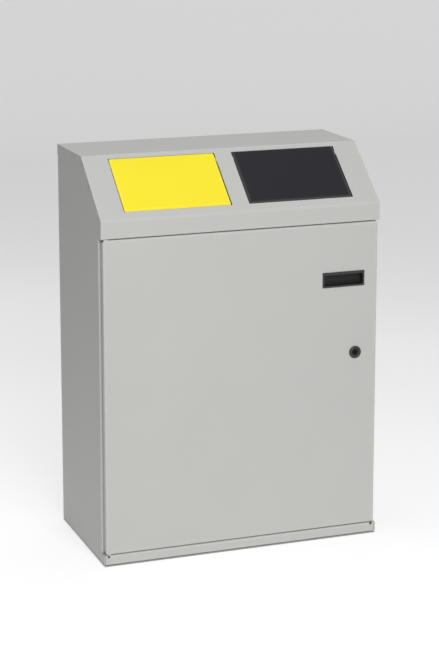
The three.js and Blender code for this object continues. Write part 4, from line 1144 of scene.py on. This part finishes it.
# Pull: moulded shell with a rounded rim and a grip lip over its mouth
pull = {
    "proud": 1.8 * mm,
    "rim": 2.3 * mm,
    "rimCorner": 1.5 * mm,
    "shellCorner": 2 * mm,
    "wall": 1.6 * mm,
    "reach": 14 * mm,     # shell behind the door's face
    "lip": 2.7 * mm,
    "edge": 0.55 * mm,
    "mouthCorner": 1.2 * mm,
    "catch": (1 * mm, 1.5 * mm),  # proud of the shell, deep
}


def boxBetween(name, low, high):
    loop = [(low[0], low[1]), (high[0], low[1]), (high[0], high[1]), (low[0], high[1])]
    return lofted(name, [[(x, y, z) for x, y in loop] for z in (low[2], high[2])])


def pullShell():
    rim, wall, reach, lip = pull["rim"], pull["wall"], pull["reach"], pull["lip"]
    x0, x1, z0, z1 = pullLow.x, pullHigh.x, pullLow.z, pullHigh.z
    shell = (x0 + rim, x1 - rim, z0 + rim, z1 - rim)
    mouth = (shell[0] + wall, shell[1] - wall, shell[2] + wall, shell[3] - wall - lip)
    pocket = (mouth[0], mouth[1], mouth[2], shell[3] - wall)
    face, behind, rear = -pull["proud"], -steel["air"], reach - wall
    corner, inner, outline = pull["shellCorner"], pull["mouthCorner"], (x0, x1, z0, z1)
    rings = [
        (pocket, inner, rear), (pocket, inner, wall), (mouth, inner, wall), (mouth, inner, face),
        (outline, pull["rimCorner"], face), (outline, pull["rimCorner"], behind),
        (shell, corner, behind), (shell, corner, reach),
    ]
    loops = [[(x, frontY + depth, z) for x, z in roundedLoop(*area, radius)]
             for area, radius, depth in rings]
    body = settle(roundEdges(lofted("pullBody", loops), pull["edge"], 3))
    centre, half = (x0 + x1) / 2, (shell[1] - shell[0]) / 4
    proud, deep = pull["catch"]
    near = frontY + steel["sheet"] + steel["air"]
    catches = [boxBetween("catch", (centre - half, near, z - proud), (centre + half, near + deep, z + proud))
               for z in shell[2:]]
    return joined("pull", [body, *(settle(roundEdges(catch, steel["cutEdge"])) for catch in catches)])


# The pull's finish paints shade into its recess.
mount(pullShell(), "door", ["pull_handle"], "black_plastic", "plastic_with_painted_shade")

# Lock: bevelled rosette with a shank through the door, hexagon nut, barrel with its key slot, and cam
lock = {
    "rosette": 14.4 * mm,
    "bevel": 1.6 * mm,
    "crown": (4 * mm, 0.3 * mm),
    "shank": 9.5 * mm,
    "bore": 6.8 * mm,
    "funnel": (1.8 * mm, 1.6 * mm),  # width and depth of the cone round the barrel
    "core": (6.5 * mm, 0.4 * mm),  # radius and chamfer
    "dish": (5 * mm, 4.2 * mm, 0.9 * mm),  # outer radius, inner radius, depth
    "tenon": 6 * mm,
    "slot": (1.4 * mm, 7.5 * mm, 9 * mm),  # width, length, depth
}


# Turns a piece made about Z so that it points to the front (-1) or the back (1) from the door's face.
def laidAlong(piece, way, x, y, z):
    piece.data.transform(Matrix.Translation((x, y, z)) @ Matrix.Rotation(-way * math.pi / 2, 4, "X"))
    piece.data.update()
    return piece


def lockHousing():
    low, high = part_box("lock_housing")
    proud = frontY - low.y
    rear = frontY - high.y
    rosette, bevel, shank, bore = lock["rosette"], lock["bevel"], lock["shank"], lock["bore"]
    (crownWidth, crownHeight), (funnelWidth, funnelDepth) = lock["crown"], lock["funnel"]
    profile = [
        (bore, rear), (shank, rear), (shank, steel["air"]), (rosette, steel["air"]),
        (rosette, proud - bevel), (rosette - bevel, proud - crownHeight), (rosette - crownWidth, proud),
        (bore + funnelWidth, proud), (bore, proud - funnelDepth), (bore, rear),
    ]
    return laidAlong(turned("lockHousing", profile, 48, 0.25 * mm), -1, lockAt.x, frontY, lockAt.z)


def cutWith(piece, cutters):
    for cutter in cutters:
        carve = piece.modifiers.new("carve", "BOOLEAN")
        carve.operation = "DIFFERENCE"
        carve.object = cutter
        carve.solver = "EXACT"
    settle(piece)
    for cutter in cutters:
        bpy.data.objects.remove(cutter)
    return piece


def lockBarrel():
    low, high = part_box("lock_barrel")
    front = frontY - low.y
    rear = frontY - high.y
    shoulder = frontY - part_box("lock_cam")[0].y + steel["air"]
    half = lock["tenon"] / 2
    (radius, chamfer), (wide, narrow, dish) = lock["core"], lock["dish"]
    profile = [(0, shoulder), (radius, shoulder), (radius, front - chamfer), (radius - chamfer, front),
               (wide, front), (narrow, front - dish), (0, front - dish)]
    core = turned("lockBarrel", profile, 48, 0.1 * mm)
    tenon = boxBetween("tenon", (-half, -half, rear), (half, half, shoulder + 0.5 * mm))
    settle(roundEdges(tenon, steel["cutEdge"]))
    width, length, depth = lock["slot"]
    corner = Vector((width / 2, length / 2, front + mm))
    slotCut = boxBetween("keySlot", (-corner.x, -corner.y, front - depth), corner)
    barrel = joined("lockBarrel", [cutWith(core, [slotCut]), tenon])
    return laidAlong(barrel, -1, lockAt.x, frontY, lockAt.z)


camFixing = {
    "shank": 1.8 * mm,
    "crown": 2 * mm,
    "cross": (2.3 * mm, 0.45 * mm, 1.2 * mm),  # reach, half width and depth of its arms
}


def camScrew():
    low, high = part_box("lock_cam_screw")
    length, head = high.y - low.y, (high.x - low.x) / 2
    shank, crown, (reach, blade, depth) = camFixing["shank"], camFixing["crown"], camFixing["cross"]
    profile = [(0, 0), (shank, 0), (shank, length - crown), (head, length - crown),
               (head, length - crown * 0.55), (head * 0.85, length - crown * 0.2),
               (head * 0.5, length), (0, length)]
    screw = turned("camScrew", profile, 32, 0.15 * mm)
    cuts = [boxBetween("recess", (-a, -b, length - depth), (a, b, length + mm))
            for a, b in ((reach, blade), (blade, reach))]
    return laidAlong(cutWith(screw, cuts), 1, lockAt.x, low.y, lockAt.z)


# The lock housing's finish paints shade where it meets the door.
mount(lockHousing(), "door", ["lock_housing"], "black_plastic", "plastic_with_painted_shade")
mount(softCopy("lockNut", "lock_nut", 0.5 * mm), "door", ["lock_nut"], "zinc_plated_steel")
mount(lockBarrel(), "lock", ["lock_barrel"], "black_plastic", "dark_plastic")
mount(softCopy("lockCam", "lock_cam", 0.35 * mm), "lock", ["lock_cam"], "zinc_plated_steel")
mount(camScrew(), "lock", ["lock_cam_screw"], "zinc_plated_steel")
print("pull and lock made")

# Liners: galvanised boxes with rounded corners and a rim folded down outside
liner = {
    "wall": 1 * mm,
    "corner": 6 * mm,
    "baseEdge": 2 * mm,
    "rim": (3 * mm, 10 * mm),  # proud, height
    "rollEase": 0.4 * mm,      # faces that round the rim's top
    "hemGap": 1.6 * mm,
    "bailBelowRim": 22 * mm,
    "bailHole": 3.1 * mm,
}


def linerBox(name, node):
    low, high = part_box(node)
    proud, height = liner["rim"]
    wall, base, corner = liner["wall"], liner["baseEdge"], liner["corner"]
    x0, x1, y0, y1 = low.x + proud, high.x - proud, low.y + proud, high.y - proud

    def ring(grow, z):
        loop = roundedLoop(x0 - grow, x1 + grow, y0 - grow, y1 + grow, corner + grow)
        return [(x, y, z) for x, y in loop]

    top, foot = high.z, low.z
    hem, ease = liner["hemGap"], liner["rollEase"]
    outside = [ring(-base, foot), ring(-base * 0.3, foot + base * 0.3), ring(0, foot + base),
               ring(0, top - proud), ring(hem * 0.4, top - proud + 2 * ease), ring(hem, top - proud),
               ring(hem, top - height), ring(proud, top - height), ring(proud, top - 1.5 * mm),
               ring(proud - 0.6 * mm, top - ease), ring(proud - 1.6 * mm, top)]
    inside = [ring(ease, top), ring(-0.6 * mm, top - ease), ring(-wall, top - ease - wall),
              ring(-wall, foot + wall + base), ring(-wall - base * 0.3, foot + wall + base * 0.3),
              ring(-wall - base, foot + wall)]
    shell = lofted(name, outside + inside)
    hole, reach = liner["bailHole"], high.x - low.x + 0.1
    drill = turned("drill", [(0, 0), (hole, 0), (hole, reach), (0, reach)], 24, 0)
    start = Vector((low.x - 0.05, (low.y + high.y) / 2, top - liner["bailBelowRim"]))
    drill.data.transform(Matrix.Translation(start) @ Matrix.Rotation(math.pi / 2, 4, "Y"))
    return cutWith(shell, [drill])


# Bail: wire hooked through the liner's walls, with a ribbed grip in the middle of its bar
bail = {"wire": 2.5 * mm, "out": 6.1 * mm, "bend": 6 * mm, "hook": 6 * mm, "bendSteps": 8}
grip = {
    "radius": 6 * mm,
    "bore": 2.8 * mm,
    "chamfer": 0.8 * mm,
    "groove": (0.7 * mm, 0.4 * mm, 0.9 * mm),  # depth, half width at its foot and at its mouth
    "pitch": 5 * mm,
    "end": 8 * mm,
}


def bailWire(name, linerNode, gripNode):
    low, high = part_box(linerNode)
    proud = liner["rim"][0]
    middle, half = (low.x + high.x) / 2, (high.x - low.x) / 2 - proud
    pivot = Vector((middle, (low.y + high.y) / 2, high.z - liner["bailBelowRim"]))
    bar = centreOf(gripNode)
    out, inside = half + bail["out"], half - liner["wall"] - bail["hook"]
    points = [pivot - xWay * inside, pivot - xWay * out, bar - xWay * out,
              bar + xWay * out, pivot + xWay * out, pivot + xWay * inside]
    return bentWire(name, points, bail["wire"], bail["bend"], bail["bendSteps"], 16, "zinc_plated_steel")


def bailGrip(name, node):
    length = widthOf(node)
    radius, bore, chamfer, pitch = grip["radius"], grip["bore"], grip["chamfer"], grip["pitch"]
    deep, narrow, wide = grip["groove"]
    count = int((length - 2 * grip["end"]) / pitch)
    start = (length - count * pitch) / 2
    profile = [(bore, 0), (radius - chamfer, 0), (radius, chamfer)]
    for k in range(count):
        x = start + (k + 0.5) * pitch
        profile += [(radius, x - wide), (radius - deep, x - narrow)]
        profile += [(radius - deep, x + narrow), (radius, x + wide)]
    profile += [(radius, length - chamfer), (radius - chamfer, length), (bore, length), (bore, 0)]
    master = turned(name + "Master", profile, 28, 0.12 * mm)
    return copiesOf(name, master, [(endOf(node, -1), xWay)], "black_plastic")


for name, _ in hands:
    linerNode, bailNode, gripNode = f"liner_{name}", f"bail_{name}", f"bail_grip_{name}"
    mount(linerBox(f"{name}Liner", linerNode), f"{name}_bin", [linerNode], "galvanised_steel")
    mount(bailWire(f"{name}Bail", linerNode, gripNode), f"{name}_bail", [bailNode], "zinc_plated_steel")
    mount(bailGrip(f"{name}BailGrip", gripNode), f"{name}_bail", [gripNode], "black_plastic")
print("liners and bails made")

# Stage: one pale sweep, brighter at its foot, and soft light
stage = {
    "width": 20,
    "near": -8,
    "bend": 5.2,        # where the floor starts to rise, well behind the cabinet
    "bendRadius": 1.5,
    "height": 6,
    "sky": 0.66,        # what the camera sees past the sweep
    "tones": ((0.0, 1.0), (0.375, 1.0), (0.4, 0.99), (0.425, 0.955), (0.45, 0.94), (0.483, 0.9),
              (0.525, 0.875), (0.566, 0.825), (0.6, 0.81), (0.641, 0.8), (0.787, 0.81), (1.0, 0.835)),
    "drift": 0.05,      # the tones' shift to the right, per metre
    "ownLight": 0.6,    # part of the camera's view that doesn't depend on the lamps
    "lit": 0.52,        # part that the lamps and the shadow make
    "underFeather": 4 * mm,     # how soon the own light returns beside the cabinet's footprint
    "bounce": (0.88, 0.25),     # what the floor gives back beside the cabinet and far from it
    "bounceReach": (0.7, 2.2),
}


def sweep():
    near, bend, radius, height = stage["near"], stage["bend"], stage["bendRadius"], stage["height"]
    turns = [math.pi / 2 * k / 16 for k in range(17)]
    profile = [(near + (bend - near) * k / 8, 0.0) for k in range(8)]
    profile += [(bend + radius * math.sin(turn), radius * (1 - math.cos(turn))) for turn in turns]
    profile += [(bend + radius, radius + (height - radius) * k / 4) for k in range(1, 5)]
    half = stage["width"] / 2
    points = [(x, y, z) for y, z in profile for x in (-half, half)]
    faces = [(2 * k, 2 * k + 1, 2 * k + 3, 2 * k + 2) for k in range(len(profile) - 1)]
    floor = meshObject("sweep", points, faces)
    way = floor.data.attributes.new("sweepWay", "FLOAT", "POINT")
    lengths = [0.0]
    for a, b in zip(profile, profile[1:]):
        lengths.append(lengths[-1] + math.dist(a, b))
    for k, length in enumerate(lengths):
        way.data[2 * k].value = way.data[2 * k + 1].value = length / lengths[-1]
    floor.data.shade_smooth()
    return floor


# Own light of the floor: none under the cabinet, so that its foot keeps a dark line.
def ownLightMask(tree, place):
    axes = addNode(tree, "ShaderNodeSeparateXYZ", {0: place}).outputs
    masks = []
    for axis, half in ((axes[0], halfWidth), (axes[1], backY)):
        edge = half - 2 * mm
        size = reckon(tree, "ABSOLUTE", axis)
        masks.append(spread(tree, size, 0.0, 1.0, edge, edge + stage["underFeather"]))
    return reckon(tree, "MULTIPLY", reckon(tree, "MAXIMUM", *masks), stage["ownLight"])


def sweepMaterial():
    material, tree, shader, place = newMaterial("paleSweep")
    way = addNode(tree, "ShaderNodeAttribute", attribute_name="sweepWay").outputs["Fac"]
    across = addNode(tree, "ShaderNodeSeparateXYZ", {0: place}).outputs[0]
    way = reckon(tree, "MULTIPLY_ADD", across, stage["drift"], way)
    ramp = addNode(tree, "ShaderNodeValToRGB", {"Fac": way})
    tones = stage["tones"]
    while len(ramp.color_ramp.elements) < len(tones):
        ramp.color_ramp.elements.new(0.5)
    for element, (position, tone) in zip(ramp.color_ramp.elements, tones):
        element.position = position
        element.color = (tone, tone * 0.996, tone * 1.004, 1)
    path = addNode(tree, "ShaderNodeLightPath").outputs
    seen = path["Is Camera Ray"]
    for other in ("Is Glossy Ray", "Is Transmission Ray"):
        seen = reckon(tree, "ADD", seen, path[other])
    away = addNode(tree, "ShaderNodeVectorMath", {0: place}, operation="LENGTH").outputs["Value"]
    near, far = ((tone, tone, tone, 1) for tone in stage["bounce"])
    bounce = mixColour(tree, spread(tree, away, 0.0, 1.0, *stage["bounceReach"]), near, far)
    dimmed = mixColour(tree, stage["lit"], (0.0, 0.0, 0.0, 1.0), ramp.outputs["Color"])
    tree.links.new(mixColour(tree, seen, bounce, dimmed), shader.inputs["Base Color"])
    shader.inputs["Roughness"].default_value = 0.9
    shader.inputs["Specular IOR Level"].default_value = 0.1
    strength = reckon(tree, "MULTIPLY", seen, ownLightMask(tree, place))
    glow = addNode(tree, "ShaderNodeEmission", {"Color": ramp.outputs["Color"], "Strength": strength})
    total = addNode(tree, "ShaderNodeAddShader", {0: shader.outputs[0], 1: glow.outputs[0]}).outputs[0]
    output = next(node for node in tree.nodes if node.type == "OUTPUT_MATERIAL")
    tree.links.new(total, output.inputs["Surface"])
    return material


floor = sweep()
floor.data.materials.append(sweepMaterial())

lights = {
    "key": {"at": (-0.35, -3.45, 2.3), "aim": (0, 0, 0.65), "size": (2.0, 1.5), "watts": 87},
    "left": {"at": (-2.9, -1.9, 1.8), "aim": (0, 0, 0.4), "size": (1.4, 1.4), "watts": 8},
    "rim": {"at": (0.2, 1.5, 3.1), "aim": (0, 0, 0.8), "size": (2.4, 1.2), "watts": 19},
}
worldTone = 0.42


def areaLight(name, look):
    lamp = bpy.data.lights.new(name, "AREA")
    lamp.shape = "RECTANGLE"
    lamp.size, lamp.size_y = look["size"]
    lamp.energy = look["watts"]
    obj = newObject(name, lamp)
    obj.location = look["at"]
    obj.rotation_euler = (Vector(look["aim"]) - Vector(look["at"])).to_track_quat("-Z", "Y").to_euler()


for name, look in lights.items():
    areaLight(name, look)


def studioWorld():
    world = bpy.data.worlds.new("studio")
    bpy.context.scene.world = world
    world.use_nodes = True
    tree = world.node_tree
    light = tree.nodes["Background"]
    light.inputs["Color"].default_value = (0.97, 0.985, 1.0, 1)
    light.inputs["Strength"].default_value = worldTone
    tone = stage["sky"]
    seen = addNode(tree, "ShaderNodeBackground", {"Color": (tone, tone, tone, 1.0), "Strength": 1.0})
    path = addNode(tree, "ShaderNodeLightPath").outputs
    mixed = addNode(tree, "ShaderNodeMixShader", {
        0: path["Is Camera Ray"], 1: light.outputs[0], 2: seen.outputs[0]}).outputs[0]
    tree.links.new(mixed, tree.nodes["World Output"].inputs["Surface"])


studioWorld()

camera = {"at": (-1.543, -4.21025, 1.618), "yaw": 20.18, "pitch": 11.33, "lens": 110.78, "shift": -0.15}


def photographView():
    lens = bpy.data.cameras.new("camera")
    lens.lens = camera["lens"]
    lens.sensor_width = 36
    lens.sensor_fit = "AUTO"
    lens.shift_y = camera["shift"]
    obj = newObject("camera", lens)
    obj.location = camera["at"]
    obj.rotation_euler = (math.radians(90 - camera["pitch"]), 0, math.radians(-camera["yaw"]))
    bpy.context.scene.camera = obj


photographView()
bpy.context.scene.view_settings.view_transform = "Standard"
print("stage, light and camera set")
